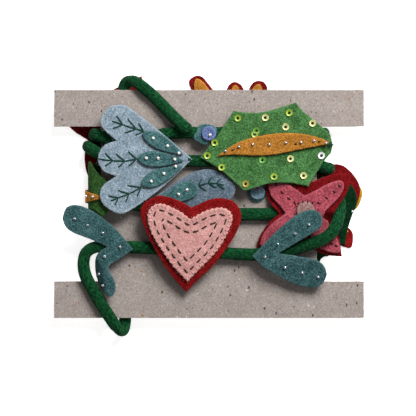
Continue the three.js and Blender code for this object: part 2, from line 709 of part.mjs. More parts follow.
const pineLift = layer / 5;
addSheet('pine_leaf', colour.pine, ribMesh({
  start: [93.2, 13],
  end: [72.4, -39.6],
  ribs: 22,
  across: 2,
  left: [
    [96.7, 6.5], [97.2, -0.8], [94.7, -6.3], [92.2, -14.3], [90.6, -21], [89.7, -27.8, CORNER],
    [86.4, -27], [84.6, -31.8, CORNER], [81.4, -31.4], [78.4, -34.8, CORNER], [74.8, -35.4],
  ],
  right: [
    [90, 7.6], [85.6, 2], [81, -3.6], [76.4, -9.6], [72, -17, CORNER], [70, -24],
    [66.4, -31, CORNER], [68.2, -36],
  ],
}), onHeight(lie(onFloor + layer, [
  { x: 0, y: -14.5, heading: 90, rise: pineLift },
  { x: 0, y: -9.5, heading: 90, rise: -pineLift },
  { x: 0, y: -30.6, heading: -90, rise: -pineLift },
  { x: 0, y: -35.6, heading: -90, rise: pineLift },
])));

addSheet('edge_bud_red', colour.red, ringMesh({
  centre: [89, -22.5],
  rings: 1,
  perSpan: 2,
  rows: [
    [91.7, -15.8, CORNER], [94.5, -18.6], [95, -23.4], [94.4, -28.2], [92.4, -29.6, CORNER],
    [86, -27.4], [83, -22.4], [86, -17.6],
  ],
}), floorLie);

// The middle of the whole thing stands over the origin

const centre = new THREE.Box3().setFromObject(garland).getCenter(new THREE.Vector3());
garland.position.set(-centre.x, -centre.y, 0);

const whole = new THREE.Group();
whole.add(garland);

export default whole;
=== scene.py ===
import math
import random
from collections import namedtuple

import bmesh
import bpy
from mathutils import Matrix, Vector, kdtree, noise


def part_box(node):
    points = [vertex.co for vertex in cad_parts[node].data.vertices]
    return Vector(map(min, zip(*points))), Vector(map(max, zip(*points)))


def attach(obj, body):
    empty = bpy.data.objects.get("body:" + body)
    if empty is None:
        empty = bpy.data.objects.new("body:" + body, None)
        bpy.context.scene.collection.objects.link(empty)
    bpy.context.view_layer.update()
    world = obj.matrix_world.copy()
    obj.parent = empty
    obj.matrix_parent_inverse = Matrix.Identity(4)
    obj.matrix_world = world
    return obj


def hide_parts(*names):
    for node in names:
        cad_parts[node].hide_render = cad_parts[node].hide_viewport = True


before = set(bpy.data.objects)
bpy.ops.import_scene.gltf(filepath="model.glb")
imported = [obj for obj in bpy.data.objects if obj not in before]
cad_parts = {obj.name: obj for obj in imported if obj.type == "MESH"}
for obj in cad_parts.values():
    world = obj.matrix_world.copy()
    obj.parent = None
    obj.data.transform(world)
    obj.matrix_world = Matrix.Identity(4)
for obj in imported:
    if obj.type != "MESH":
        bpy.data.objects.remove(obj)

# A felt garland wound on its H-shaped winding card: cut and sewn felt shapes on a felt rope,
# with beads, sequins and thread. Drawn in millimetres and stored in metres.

bl_info = {
    "name": "Felt garland on a winding card",
    "version": (1, 0, 0),
    "blender": (4, 5, 0),
    "location": "3D View > Sidebar > Garland",
    "description": "Cuts, sews and lays a felt garland round its winding card",
    "category": "Object",
}

MM = 0.001
LAYER = 1.95  # from the middle of one felt sheet to the middle of the next
ON_BENT = 1.12  # a sheet sewn on a bent one, in layers
DRAWN_CARD_BOTTOM = -75.0
# felt_sheet takes a side of a sheet that is narrower than this as this wide. A narrower
# side is declared as this, wider than it is.
SMALLEST_DECLARED = 10.05
SWELLS = ((0.13, 0.16), (0.05, 0.5))  # how a sheet is uneven: height, and scale of the noise
EDGE_WAVER, EDGE_NAP = 0.16, 0.08  # how far a cut edge strays, slowly and finely
RIM_REACH = 1.6  # how far in from a cut edge the colour is painted lighter, a painted highlight
NOTCH_DEPTH, NOTCH_REACH = 0.75, 0.8  # what a whip stitch pulls in at an edge
WHIP_PITCH = 3.1
CARD_BAR = 24.0  # the way across the card's top and bottom bars
CARD_WEB = 70.7  # from the middle of the card to the side of its web
CARD_STEP, CARD_CELL = 1.6, 12.0
CARD_ROUNDING = 0.22  # of the board's cut edges
ROPE_STEP, ROPE_SIDES = 1.5, 28
ROPE_END = 2.2  # length over which a free end rounds off
BEAD_WALL, BEAD_HALF_HEIGHT = 0.33, 0.36  # shares of a bead's width
SEQUIN_PROFILE = ((0.42, 0.1), (0.58, 0.1), (0.82, 0.32), (1.0, 0.5))  # share of reach, height
FILM = 0.12  # thickness of a sequin
STITCH_STEP, STITCH_SIDES = 0.45, 8
FIBRE_RADIUS = 0.05
FIBRE_FLOOR = 0.05  # fibres stay this far above the floor
EDGE_FIBRE_STEP, ROPE_FIBRE_STEP = 0.9, 0.8
EDGE_FIBRE_LENGTHS, ROPE_FIBRE_LENGTHS = (0.7, 1.7), (0.8, 2.4)
SHIFT = Vector((0.0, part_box("card")[0].y / MM - DRAWN_CARD_BOTTOM, 0.0))
CORNER = True


def linear(hex_colour):
    """A six-digit sRGB hex colour as the linear values that Blender works in."""
    channels = [int(hex_colour[k:k + 2], 16) / 255 for k in (0, 2, 4)]
    return [c / 12.92 if c <= 0.04045 else ((c + 0.055) / 1.055) ** 2.4 for c in channels]


def length_setting(name, text, millimetres):
    return bpy.props.FloatProperty(
        name=name, description=text, default=millimetres * MM, min=0.0, precision=5,
        subtype="DISTANCE", unit="LENGTH")


def colour_setting(name, text, hex_colour):
    return bpy.props.FloatVectorProperty(
        name=name, description=text, default=linear(hex_colour), size=3, min=0.0, max=1.0,
        subtype="COLOR")


class GarlandSizes(bpy.types.PropertyGroup):
    felt: length_setting("Felt", "Thickness of the felt sheets", 1.3)
    cell: length_setting("Cell", "Side of the cells that a felt sheet is divided into", 1.5)
    step: length_setting("Edge step", "Distance between points along a cut edge", 1.0)
    rope_width: length_setting("Rope width", "Wide way through the felt rope", 8.2)
    rope_depth: length_setting("Rope depth", "Thin way through the felt rope", 6.2)
    bead: length_setting("Bead", "Outside diameter of a seed bead", 2.0)
    sequin: length_setting("Sequin", "Outside diameter of a cup sequin", 4.6)
    thread: length_setting("Thread", "Thickness of the stranded sewing thread", 0.75)


class GarlandColours(bpy.types.PropertyGroup):
    board: colour_setting("Board", "Recycled chipboard", "9a8f89")
    rope: colour_setting("Rope", "Felt rope", "09361d")
    blue: colour_setting("Pale blue", "Large three-lobed leaf", "7d8f9c")
    slate: colour_setting("Slate blue", "Smaller three-lobed leaf", "566775")
    teal: colour_setting("Teal", "Petals sewn on the blue leaves", "3b6162")
    deep_teal: colour_setting("Deep teal", "Two-lobed leaves", "345759")
    holly: colour_setting("Holly green", "Large holly leaf", "406c3b")
    dark_holly: colour_setting("Dark holly green", "Wrapped holly leaf", "2c4f23")
    mustard: colour_setting("Mustard", "Leaf veins and fan petals", "a46d2a")
    red: colour_setting("Red", "Heart and edge shapes", "781112")
    wine: colour_setting("Wine red", "Flowers", "6b0e12")
    pink: colour_setting("Pink", "Inner heart", "c78f8a")
    rose: colour_setting("Rose", "Inner flower", "9c4450")
    blush: colour_setting("Blush", "Middle of the flower", "8f6a66")
    violet: colour_setting("Violet", "Small round flower", "5e6f9c")
    sky: colour_setting("Sky blue", "Small round flower", "6c8998")
    yellow: colour_setting("Yellow", "Petal at the edge", "b3861b")
    pine: colour_setting("Pine green", "Narrow toothed leaf", "0a2c17")


# Outlines


def span_point(before, start, end, after, t):
    """A point of the smooth curve from start to end. A row's third value marks a corner."""
    first = start if start[2:] else before
    last = end if end[2:] else after
    point = []
    for k in (0, 1):
        pull = (end[k] - first[k]) / 2
        push = (last[k] - start[k]) / 2
        a = 2 * start[k] - 2 * end[k] + pull + push
        b = -3 * start[k] + 3 * end[k] - 2 * pull - push
        point.append(((a * t + b) * t + pull) * t + start[k])
    return point


def smooth_outline(rows, step):
    """Closed outline through the rows, with about one point for each step of its length."""
    count = len(rows)
    points = []
    for i in range(count):
        start, end = rows[i], rows[(i + 1) % count]
        parts = max(1, round(math.dist(start[:2], end[:2]) / step))
        for k in range(parts):
            points.append(span_point(rows[i - 1], start, end, rows[(i + 2) % count], k / parts))
    return points


def turn_of(outline):
    """1 where a closed outline runs anticlockwise, else -1."""
    turns = zip(outline, outline[1:] + outline[:1])
    return 1 if sum(a[0] * b[1] - b[0] * a[1] for a, b in turns) > 0 else -1


def two_sided(start, end, left, right):
    """Outline of a leaf given by its two ends and the rows along each side."""
    return [(*start, CORNER), *left, (*end, CORNER), *right[::-1]]


def petal_outline(start, end, half, ribs=8, fullness=1.6):
    axis = Vector(end) - Vector(start)
    side = Vector((-axis.y, axis.x)).normalized() * half
    sides = []
    for sign in (1, -1):
        row = []
        for k in range(1, ribs):
            t = (1 - math.cos(math.pi * k / ribs)) / 2
            width = sign * math.sin(math.pi * t ** fullness) ** 0.55
            row.append(tuple(Vector(start) + axis * t + side * width))
        sides.append(row)
    return two_sided(start, end, *sides)


def disc_outline(centre, radius, sides=16):
    return [(centre[0] + radius * math.cos(2 * math.pi * k / sides),
             centre[1] + radius * math.sin(2 * math.pi * k / sides)) for k in range(sides)]


def from_tip(rows, tip, heading, side=1, scale=1.0):
    """Moves rows drawn from a leaf's tip along its axis into place."""
    c, s = math.cos(math.radians(heading)) * scale, math.sin(math.radians(heading)) * scale
    return [(tip[0] + r[0] * c - side * r[1] * s, tip[1] + r[0] * s + side * r[1] * c, *r[2:])
            for r in rows]


def flat_size(points):
    """Width, length and area of the smallest rectangle and of the outline itself."""
    best = None
    for degrees in range(0, 180, 2):
        c, s = math.cos(math.radians(degrees)), math.sin(math.radians(degrees))
        along = [x * c + y * s for x, y in points]
        across = [y * c - x * s for x, y in points]
        size = sorted((max(along) - min(along), max(across) - min(across)))
        if best is None or size[0] * size[1] < best[0] * best[1]:
            best = size
    turns = zip(points, points[1:] + points[:1])
    area = abs(sum(a[0] * b[1] - b[0] * a[1] for a, b in turns)) / 2
    return best[0], best[1], area


# Lie of a sheet: how high its middle is at x, y. A bend starts at a line through (x, y) across
# its heading, eases in over a short way and then climbs by rise for each millimetre.

Bend = namedtuple("Bend", "x y heading rise ease", defaults=(4.0,))


def climb(distance, ease=4.0):
    if distance <= 0:
        return 0.0
    return distance * distance / (2 * ease) if distance < ease else distance - ease / 2


def along(x, y, bend):
    heading = math.radians(bend.heading)
    return (x - bend.x) * math.cos(heading) + (y - bend.y) * math.sin(heading)


def lie(level, *bends):
    return lambda x, y: level + sum(b.rise * climb(along(x, y, b), b.ease) for b in bends)


def on_height(height):
    step = 0.05

    def place(x, y):
        slope_x = (height(x + step, y) - height(x - step, y)) / (2 * step)
        slope_y = (height(x, y + step) - height(x, y - step)) / (2 * step)
        return Vector((x, y, height(x, y))), Vector((-slope_x, -slope_y, 1)).normalized()
    return place


# Levels of the middle of a lone sheet or of the rope

ON_FLOOR = 0.8
ON_CARD = 13.65
ROPE_FRONT = 16.0
ROPE_BACK = 7.0
ON_ROPE = 20.3

# Materials


def add_node(tree, kind, settings=(), inputs=()):
    """Adds a node, sets its properties, and sets or links its inputs."""
    node = tree.nodes.new(kind)
    for name, value in dict(settings).items():
        if name == "ramp":
            elements = node.color_ramp.elements
            while len(elements) < len(value):
                elements.new(0.5)
            for element, (position, colour) in zip(elements, value):
                element.position = position
                element.color = (*colour, 1.0)
        else:
            setattr(node, name, value)
    for name, value in dict(inputs).items():
        socket = node.inputs[name]
        if isinstance(value, bpy.types.NodeSocket):
            tree.links.new(value, socket)
        else:
            socket.default_value = value
    return node


def per_mm(size):
    """Scale of a texture on coordinates in metres whose features are size millimetres wide."""
    return 1.0 / (size * MM)


def grey(value):
    return (value, value, value)


def tinted(colour, amount, towards):
    return [c + (t - c) * amount for c, t in zip(colour, towards)]


def new_material(name):
    material = bpy.data.materials.new(name)
    material.use_nodes = True
    material.node_tree.nodes.clear()
    return material, material.node_tree


def finish_material(tree, surface):
    add_node(tree, "ShaderNodeOutputMaterial", inputs={"Surface": surface.outputs["BSDF"]})


# Wool felt, matted and cut. Fibres of lighter and darker wool lie every way in it, so it looks
# heathered and slightly cloudy. Near a cut edge the colour is painted lighter, a painted
# highlight where the edge catches the light. Real fibres are 0.03 mm thick; they are drawn as
# streaks about
# 0.6 mm wide so that they show.

WHITE_WOOL = linear("f1ede6")


def felt_material(name, colour, heather=0.3, depth=0.34, sheen=0.25):
    material, tree = new_material(f"{name} wool felt, matted and cut")
    coords = add_node(tree, "ShaderNodeTexCoord").outputs["Object"]
    bent = add_node(tree, "ShaderNodeTexNoise", inputs={
        "Vector": coords, "Scale": per_mm(3.0), "Detail": 2.0})
    offset = add_node(tree, "ShaderNodeVectorMath", {"operation": "SCALE"}, {
        0: bent.outputs["Color"], "Scale": 1.6 * MM})
    warped = add_node(tree, "ShaderNodeVectorMath", {"operation": "ADD"}, {
        0: coords, 1: offset.outputs["Vector"]}).outputs["Vector"]
    streaks = []
    for turn in (25, 85, 145):
        turned = add_node(tree, "ShaderNodeMapping", {"vector_type": "TEXTURE"}, {
            "Vector": warped, "Rotation": (0.2, 0.1, math.radians(turn)),
            "Scale": (1.0, 3.5, 1.0)})
        streaks.append(add_node(tree, "ShaderNodeTexNoise", inputs={
            "Vector": turned.outputs["Vector"], "Scale": per_mm(0.62), "Detail": 2.0,
            "Roughness": 0.6}).outputs["Fac"])
    fibres = add_node(tree, "ShaderNodeMath", {"operation": "MAXIMUM"}, {
        0: streaks[0], 1: streaks[1]})
    fibres = add_node(tree, "ShaderNodeMath", {"operation": "MAXIMUM"}, {
        0: fibres.outputs[0], 1: streaks[2]}).outputs[0]
    clouds = add_node(tree, "ShaderNodeTexNoise", inputs={
        "Vector": coords, "Scale": per_mm(1.05), "Detail": 2.0, "Roughness": 0.6}).outputs["Fac"]
    wide = add_node(tree, "ShaderNodeTexNoise", inputs={
        "Vector": coords, "Scale": per_mm(6.5), "Detail": 1.0}).outputs["Fac"]
    mottle = add_node(tree, "ShaderNodeMix", {"data_type": "FLOAT"}, {
        0: 0.5, 2: fibres, 3: clouds}).outputs[0]
    mottle = add_node(tree, "ShaderNodeMix", {"data_type": "FLOAT"}, {
        0: 0.16, 2: mottle, 3: wide}).outputs[0]
    dark = [c * (1 - depth) for c in colour]
    light = tinted([c * (1 + depth) for c in colour], heather, WHITE_WOOL)
    shade = add_node(tree, "ShaderNodeValToRGB", {"ramp": [
        (0.45, dark), (0.54, colour), (0.63, light)]}, {"Fac": mottle})
    # Painted highlight: near a cut edge the colour is mixed towards a lighter tint, for the light
    # that the edge catches.
    rim = add_node(tree, "ShaderNodeAttribute", {"attribute_name": "rim"}).outputs["Fac"]
    rim_highlight = add_node(tree, "ShaderNodeMath", {"operation": "MULTIPLY"}, {0: rim, 1: 0.42})
    edged = add_node(tree, "ShaderNodeMix", {"data_type": "RGBA"}, {
        0: rim_highlight.outputs[0], 6: shade.outputs["Color"],
        7: (*tinted([c * 1.35 for c in colour], heather, WHITE_WOOL), 1.0)})
    relief = add_node(tree, "ShaderNodeMix", {"data_type": "FLOAT"}, {
        0: 0.35, 2: fibres, 3: clouds}).outputs[0]
    bump = add_node(tree, "ShaderNodeBump", inputs={
        "Height": relief, "Strength": 0.8, "Distance": 0.45 * MM})
    surface = add_node(tree, "ShaderNodeBsdfPrincipled", inputs={
        "Base Color": edged.outputs[2], "Roughness": 0.94, "Normal": bump.outputs["Normal"],
        "Specular IOR Level": 0.03, "Sheen Weight": sheen, "Sheen Roughness": 0.6})
    finish_material(tree, surface)
    return material


# Solid wool rope, wet-felted by rolling. Rolling leaves creases and lighter fibres along it. The
# pattern follows the rope: the lay attribute holds the way round it and the length along it.


def rope_material(colour):
    material, tree = new_material("Wool rope, wet-felted and rolled")
    lay = add_node(tree, "ShaderNodeAttribute", {"attribute_name": "lay"}).outputs["Vector"]
    stretched = add_node(tree, "ShaderNodeMapping", inputs={
        "Vector": lay, "Scale": (1.0, 1.0, 0.3)}).outputs["Vector"]
    streaks = add_node(tree, "ShaderNodeTexNoise", inputs={
        "Vector": stretched, "Scale": 1.5, "Detail": 5.0, "Roughness": 0.72}).outputs["Fac"]
    clouds = add_node(tree, "ShaderNodeTexNoise", inputs={
        "Vector": lay, "Scale": 0.5, "Detail": 4.0, "Roughness": 0.7}).outputs["Fac"]
    mottle = add_node(tree, "ShaderNodeMix", {"data_type": "FLOAT"}, {
        0: 0.3, 2: streaks, 3: clouds}).outputs[0]
    shade = add_node(tree, "ShaderNodeValToRGB", {"ramp": [
        (0.41, [c * 0.4 for c in colour]), (0.5, colour),
        (0.58, tinted(colour, 0.35, linear("2a8045")))]}, {"Fac": mottle})
    bump = add_node(tree, "ShaderNodeBump", inputs={
        "Height": mottle, "Strength": 0.9, "Distance": 0.6 * MM})
    surface = add_node(tree, "ShaderNodeBsdfPrincipled", inputs={
        "Base Color": shade.outputs["Color"], "Roughness": 0.95,
        "Normal": bump.outputs["Normal"], "Specular IOR Level": 0.03, "Sheen Weight": 0.03,
        "Sheen Roughness": 0.6})
    finish_material(tree, surface)
    return material


# Recycled chipboard, pressed and uncoated: warm grey pulp with short pale fibres and flecks of
# other papers, each about a millimetre, and matt all over.


def board_material(colour):
    material, tree = new_material("Recycled chipboard, pressed and uncoated")
    coords = add_node(tree, "ShaderNodeTexCoord").outputs["Object"]
    bent = add_node(tree, "ShaderNodeTexNoise", inputs={
        "Vector": coords, "Scale": per_mm(0.9), "Detail": 3.0})
    offset = add_node(tree, "ShaderNodeVectorMath", {"operation": "SCALE"}, {
        0: bent.outputs["Color"], "Scale": 1.6 * MM})
    warped = add_node(tree, "ShaderNodeVectorMath", {"operation": "ADD"}, {
        0: coords, 1: offset.outputs["Vector"]}).outputs["Vector"]
    pulp = add_node(tree, "ShaderNodeTexNoise", inputs={
        "Vector": coords, "Scale": per_mm(1.0), "Detail": 5.0, "Roughness": 0.75}).outputs["Fac"]
    clouds = add_node(tree, "ShaderNodeTexNoise", inputs={
        "Vector": coords, "Scale": per_mm(14.0), "Detail": 3.0}).outputs["Fac"]
    ground = add_node(tree, "ShaderNodeMix", {"data_type": "FLOAT"}, {
        0: 0.15, 2: pulp, 3: clouds}).outputs[0]
    result = add_node(tree, "ShaderNodeValToRGB", {"ramp": [
        (0.33, [c * 0.72 for c in colour]), (0.5, colour),
        (0.68, tinted(colour, 0.35, linear("e8e2da")))]}, {"Fac": ground}).outputs["Color"]
    flecks = [
        # size of the cell, how far out of its middle a fleck reaches, share of cells, colours
        (1.7, 0.26, 0.10, ["cfc6bc", "b9aea4", "e6dfd4"]),
        (1.5, 0.26, 0.15, ["4a3a33", "6b5547", "352c28"]),
        (3.2, 0.24, 0.09, ["2c2220", "453730", "3a2f2a"]),
        (5.0, 0.14, 0.20, ["7d3b2c", "a87a3c", "5c6f86"]),
    ]
    for k, (cell, reach, share, hexes) in enumerate(flecks):
        turned = add_node(tree, "ShaderNodeMapping", inputs={
            "Vector": warped, "Location": (0.013 * k, 0.007 * k, 0.0),
            "Rotation": (0.0, 0.0, 0.6 + 1.1 * k), "Scale": (1.0, 0.7, 1.0)})
        cells = add_node(tree, "ShaderNodeTexVoronoi", inputs={
            "Vector": turned.outputs["Vector"], "Scale": per_mm(cell), "Randomness": 1.0})
        drawn = add_node(tree, "ShaderNodeSeparateColor", inputs={
            "Color": cells.outputs["Color"]})
        chosen = add_node(tree, "ShaderNodeMath", {"operation": "LESS_THAN"}, {
            0: drawn.outputs["Red"], 1: share})
        inside = add_node(tree, "ShaderNodeMapRange", {"clamp": True}, {
            "Value": cells.outputs["Distance"], "From Min": reach, "From Max": reach * 0.7,
            "To Min": 0.0, "To Max": 0.85})
        mask = add_node(tree, "ShaderNodeMath", {"operation": "MULTIPLY"}, {
            0: chosen.outputs[0], 1: inside.outputs["Result"]})
        paper = add_node(tree, "ShaderNodeValToRGB", {"ramp": [
            (0.0, linear(hexes[0])), (0.5, linear(hexes[1])), (1.0, linear(hexes[2]))]}, {
            "Fac": drawn.outputs["Green"]})
        result = add_node(tree, "ShaderNodeMix", {"data_type": "RGBA"}, {
            0: mask.outputs[0], 6: result, 7: paper.outputs["Color"]}).outputs[2]
    bump = add_node(tree, "ShaderNodeBump", inputs={
        "Height": pulp, "Strength": 0.5, "Distance": 0.2 * MM})
    surface = add_node(tree, "ShaderNodeBsdfPrincipled", inputs={
        "Base Color": result, "Roughness": 0.9, "Normal": bump.outputs["Normal"],
        "Specular IOR Level": 0.2})
    finish_material(tree, surface)
    return material


# Making and finishing pieces


def store_piece(name, bm, material, slot, *nodes, smooth=True):
    """Moves a mesh drawn in millimetres into the frame and makes it a piece of the object."""
    bmesh.ops.translate(bm, verts=bm.verts, vec=SHIFT)
    bmesh.ops.scale(bm, verts=bm.verts, vec=(MM, MM, MM))
    mesh = bpy.data.meshes.new(name)
    bm.to_mesh(mesh)
    bm.free()
    mesh.shade_smooth() if smooth else mesh.shade_flat()
    mesh.materials.append(material)
    piece = bpy.data.objects.new(name, mesh)
    bpy.context.scene.collection.objects.link(piece)
    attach(piece, "root")
    if nodes:
        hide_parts(*nodes)
    return piece


def cut_cells(bm, cell):
    """Cuts a flat sheet along a square grid so that it can bend."""
    for axis in (0, 1):
        places = [v.co[axis] for v in bm.verts]
        low, high = min(places), max(places)
        count = max(1, round((high - low) / cell))
        for k in range(1, count):
            across = Vector((0, 0, 0))
            across[axis] = 1.0
            bmesh.ops.bisect_plane(
                bm, geom=bm.verts[:] + bm.edges[:] + bm.faces[:], dist=1e-5,
                plane_co=across * (low + (high - low) * k / count), plane_no=across)


Cut = namedtuple("Cut", "node colour slot rows place over held rests_on",
                 defaults=(0.0, "laid", ("rope",)))
PUCKERS = {}  # for each sheet, x, y, depth and reach of each place that sewing pulls in
NOTCHES = {}  # for each sheet, the places on its edge where a whip stitch wraps it, and inward


def seed_of(name):
    return float(sum(ord(letter) for letter in name) % 89)


def rise_of(cut, x, y):
    """How far a sheet stands above its lie: its own unevenness, less what sewing pulls in."""
    seed = seed_of(cut.node)
    swell = sum(height * noise.noise(Vector((x * scale, y * scale, seed)))
                for height, scale in SWELLS)
    pulled = sum(depth * math.exp(-((x - px) ** 2 + (y - py) ** 2) / reach ** 2)
                 for px, py, depth, reach in PUCKERS.get(cut.node, ()))
    return cut.over * LAYER + swell - pulled


def top_of(cut, x, y):
    """Point and normal of the top of a sheet at x, y of its drawing."""
    point, normal = cut.place(x, y)
    half = bpy.context.scene.garland_sizes.felt / MM / 2
    return point + normal * (rise_of(cut, x, y) + half), normal


def wavy(outline, seed, notches=()):
    """Scissors and soft wool leave a cut edge slightly uneven; whip stitches pull it in."""
    moved = []
    for x, y in outline:
        for (px, py), (ix, iy) in notches:
            gone = (x - px) ** 2 + (y - py) ** 2
            pull = NOTCH_DEPTH * math.exp(-gone / NOTCH_REACH ** 2)
            x, y = x + ix * pull, y + iy * pull
        at = Vector((x * 0.55, y * 0.55, seed))
        fine = Vector((x * 1.7, y * 1.7, seed))
        other = at + Vector((7, 3, 0))
        moved.append([x + EDGE_WAVER * noise.noise(at) + EDGE_NAP * noise.noise(fine),
                      y + EDGE_WAVER * noise.noise(other) + EDGE_NAP * noise.noise(fine * 1.1)])
    return moved


def felt_sheet(cut, materials):
    """Cuts a felt sheet to its outline, bends it to its lie and gives it its thickness."""
    sizes = bpy.context.scene.garland_sizes
    notches = NOTCHES.get(cut.node, ())
    outline = smooth_outline(cut.rows, sizes.step / MM * (0.6 if notches else 1.0))
    edge = wavy(outline, seed_of(cut.node), notches)
    bm = bmesh.new()
    verts = [bm.verts.new((x, y, 0)) for x, y in edge]
    face = bm.faces.new(verts)
    face.normal_update()
    if face.normal.z < 0:
        bmesh.ops.reverse_faces(bm, faces=[face])
    cut_cells(bm, sizes.cell / MM)
    near = kdtree.KDTree(len(edge))
    for k, (x, y) in enumerate(edge):
        near.insert((x, y, 0), k)
    near.balance()
    # rim: how near each point is to the cut edge; the felt material paints a highlight there.
    rim = bm.verts.layers.float.new("rim")
    for v in bm.verts:
        x, y = v.co.x, v.co.y
        distance = near.find(v.co)[2]
        v[rim] = max(0.0, 1.0 - distance / RIM_REACH)
        point, normal = cut.place(x, y)
        v.co = point + normal * rise_of(cut, x, y)
    bmesh.ops.recalc_face_normals(bm, faces=bm.faces)
    piece = store_piece(f"{cut.node}_felt", bm, materials[cut.colour], cut.slot, cut.node)
    wall = piece.modifiers.new("Felt thickness", "SOLIDIFY")
    wall.thickness = sizes.felt
    wall.offset = 0.0
    rounding = piece.modifiers.new("Soft edge", "SUBSURF")
    rounding.levels = rounding.render_levels = 1
    width, length, area = flat_size(outline)
    width, length = max(width, SMALLEST_DECLARED), max(length, SMALLEST_DECLARED)
    return piece


# Felt shapes, in millimetres from the middle of the drawing

LOBES = [
    (0, 0, CORNER), (19.5, -18.6), (40, -33.2), (48.5, -35.4), (57.6, -30), (60.2, -22.8),
    (57.4, -16.6), (49.4, -11.3, CORNER), (57.6, -8), (61.5, 0), (57.8, 8.4),
    (49.4, 11.9, CORNER), (58.1, 19.8), (59.6, 26), (54.5, 33.6), (46.4, 35.1), (40, 32.6),
    (19.5, 16.6),
]
LOBE_PETALS = {
    "upper": petal_outline((6, 2.6), (32.5, 17), 4.9),
    "middle": petal_outline((5.5, -1), (35.6, 0.4), 5.1),
    "lower": petal_outline((6, -4.4), (33.4, -16.8), 5.1),
}
FRONT_LEAF = {"tip": (-10.8, 29), "heading": 180, "side": -1}

front_leaf_lie = on_height(lie(ON_ROPE, Bend(-12, 29, 180, 0.075), Bend(-46, 29, 90, -0.05)))
DIP = 11.6
DIP_RISE = (ON_ROPE - ON_CARD) / DIP
back_leaf_lie = on_height(lie(
    ON_ROPE, Bend(0, 10, 90, -0.25), Bend(0, -11.4, -90, -DIP_RISE),
    Bend(0, -11.4 - DIP, -90, DIP_RISE)))
holly_lie = on_height(lie(ON_ROPE + 0.2, Bend(0, 31, -90, 0.15), Bend(70, 40, 0, 0.12)))
heart_lie = on_height(lie(
    ON_ROPE + 2 * LAYER + 0.4, Bend(0, -5, -90, -0.075), Bend(0, -36, -90, -0.12)))


def eased(t):
    t = min(max(t, 0.0), 1.0)
    return t * t * (3 - 2 * t)


CREASE = Bend(-69.3, -38, 191.5, -1.25, 2.5)


def curled_height(x, y):
    """The lower lobe of the left teal leaf rolls over towards its outer side."""
    return ON_ROPE + eased((-33 - y) / 8) * CREASE.rise * climb(along(x, y, CREASE), CREASE.ease)


left_teal_lie = on_height(curled_height)
right_teal_lie = on_height(lie(
    ON_ROPE + 1.5, Bend(32.9, -30.9, 35, 0.17), Bend(45, -38, 305, -0.22)))

# Four-petal flower: each petal starts to fall at a distance from the centre, and goes level
# where it has come down by depth.

FLOWER = (62.9, -4.7)
Petal = namedtuple("Petal", "heading start fall depth full none", defaults=(0.0, 20, 42))
PETALS = [
    Petal(40, 22, -0.06),
    Petal(140, 10, 0.3),
    Petal(217.6, 18, 0.3),
    Petal(-51.2, 4, 0.57, ON_ROPE - ON_CARD, 28, 52),
]


def flower_height(x, y):
    dx, dy = x - FLOWER[0], y - FLOWER[1]
    heading = math.degrees(math.atan2(dy, dx))
    z = ON_ROPE
    for petal in PETALS:
        off = abs((heading - petal.heading + 540) % 360 - 180)
        share = eased((petal.none - off) / (petal.none - petal.full))
        distance = math.hypot(dx, dy) - petal.start
        level = climb(distance - petal.depth / petal.fall) if petal.depth else 0.0
        z -= share * petal.fall * (climb(distance) - level)
    return z


flower_lie = on_height(flower_height)
violet_lie = on_height(lie(ON_ROPE))
sky_lie = on_height(lie(ON_CARD))
floor_lie = on_height(lie(ON_FLOOR))

# The wrapped holly leaf is drawn flat: x is the way along the wrap from its end on the front.

WRAP = {"front_x": -62.5, "side_x": -78.6, "radius": 6.5,
        "front": ON_ROPE, "back": ON_FLOOR + LAYER}


def wrap_lie(u, y):
    radius = WRAP["radius"]
    turn_x = WRAP["side_x"] + radius
    top, low = WRAP["front"] - radius, WRAP["back"] + radius
    legs = [WRAP["front_x"] - turn_x, math.pi / 2 * radius, top - low, math.pi / 2 * radius]
    rest, leg = u, 0
    while leg < len(legs) and rest > legs[leg]:
        rest -= legs[leg]
        leg += 1
    turn = rest / radius
    normal, middle = [
        (Vector((0, 0, 1)), Vector((WRAP["front_x"] - rest, y, top))),
        (Vector((-math.sin(turn), 0, math.cos(turn))), Vector((turn_x, y, top))),
        (Vector((-1, 0, 0)), Vector((turn_x, y, top - rest))),
        (Vector((-math.cos(turn), 0, -math.sin(turn))), Vector((turn_x, y, low))),
        (Vector((0, 0, -1)), Vector((turn_x + rest, y, low))),
    ][leg]
    return middle + normal * radius, normal


PINE_LIFT = LAYER / 5
pine_lie = on_height(lie(
    ON_FLOOR + LAYER, Bend(0, -14.5, 90, PINE_LIFT), Bend(0, -9.5, 90, -PINE_LIFT),
    Bend(0, -30.6, -90, -PINE_LIFT), Bend(0, -35.6, -90, PINE_LIFT)))

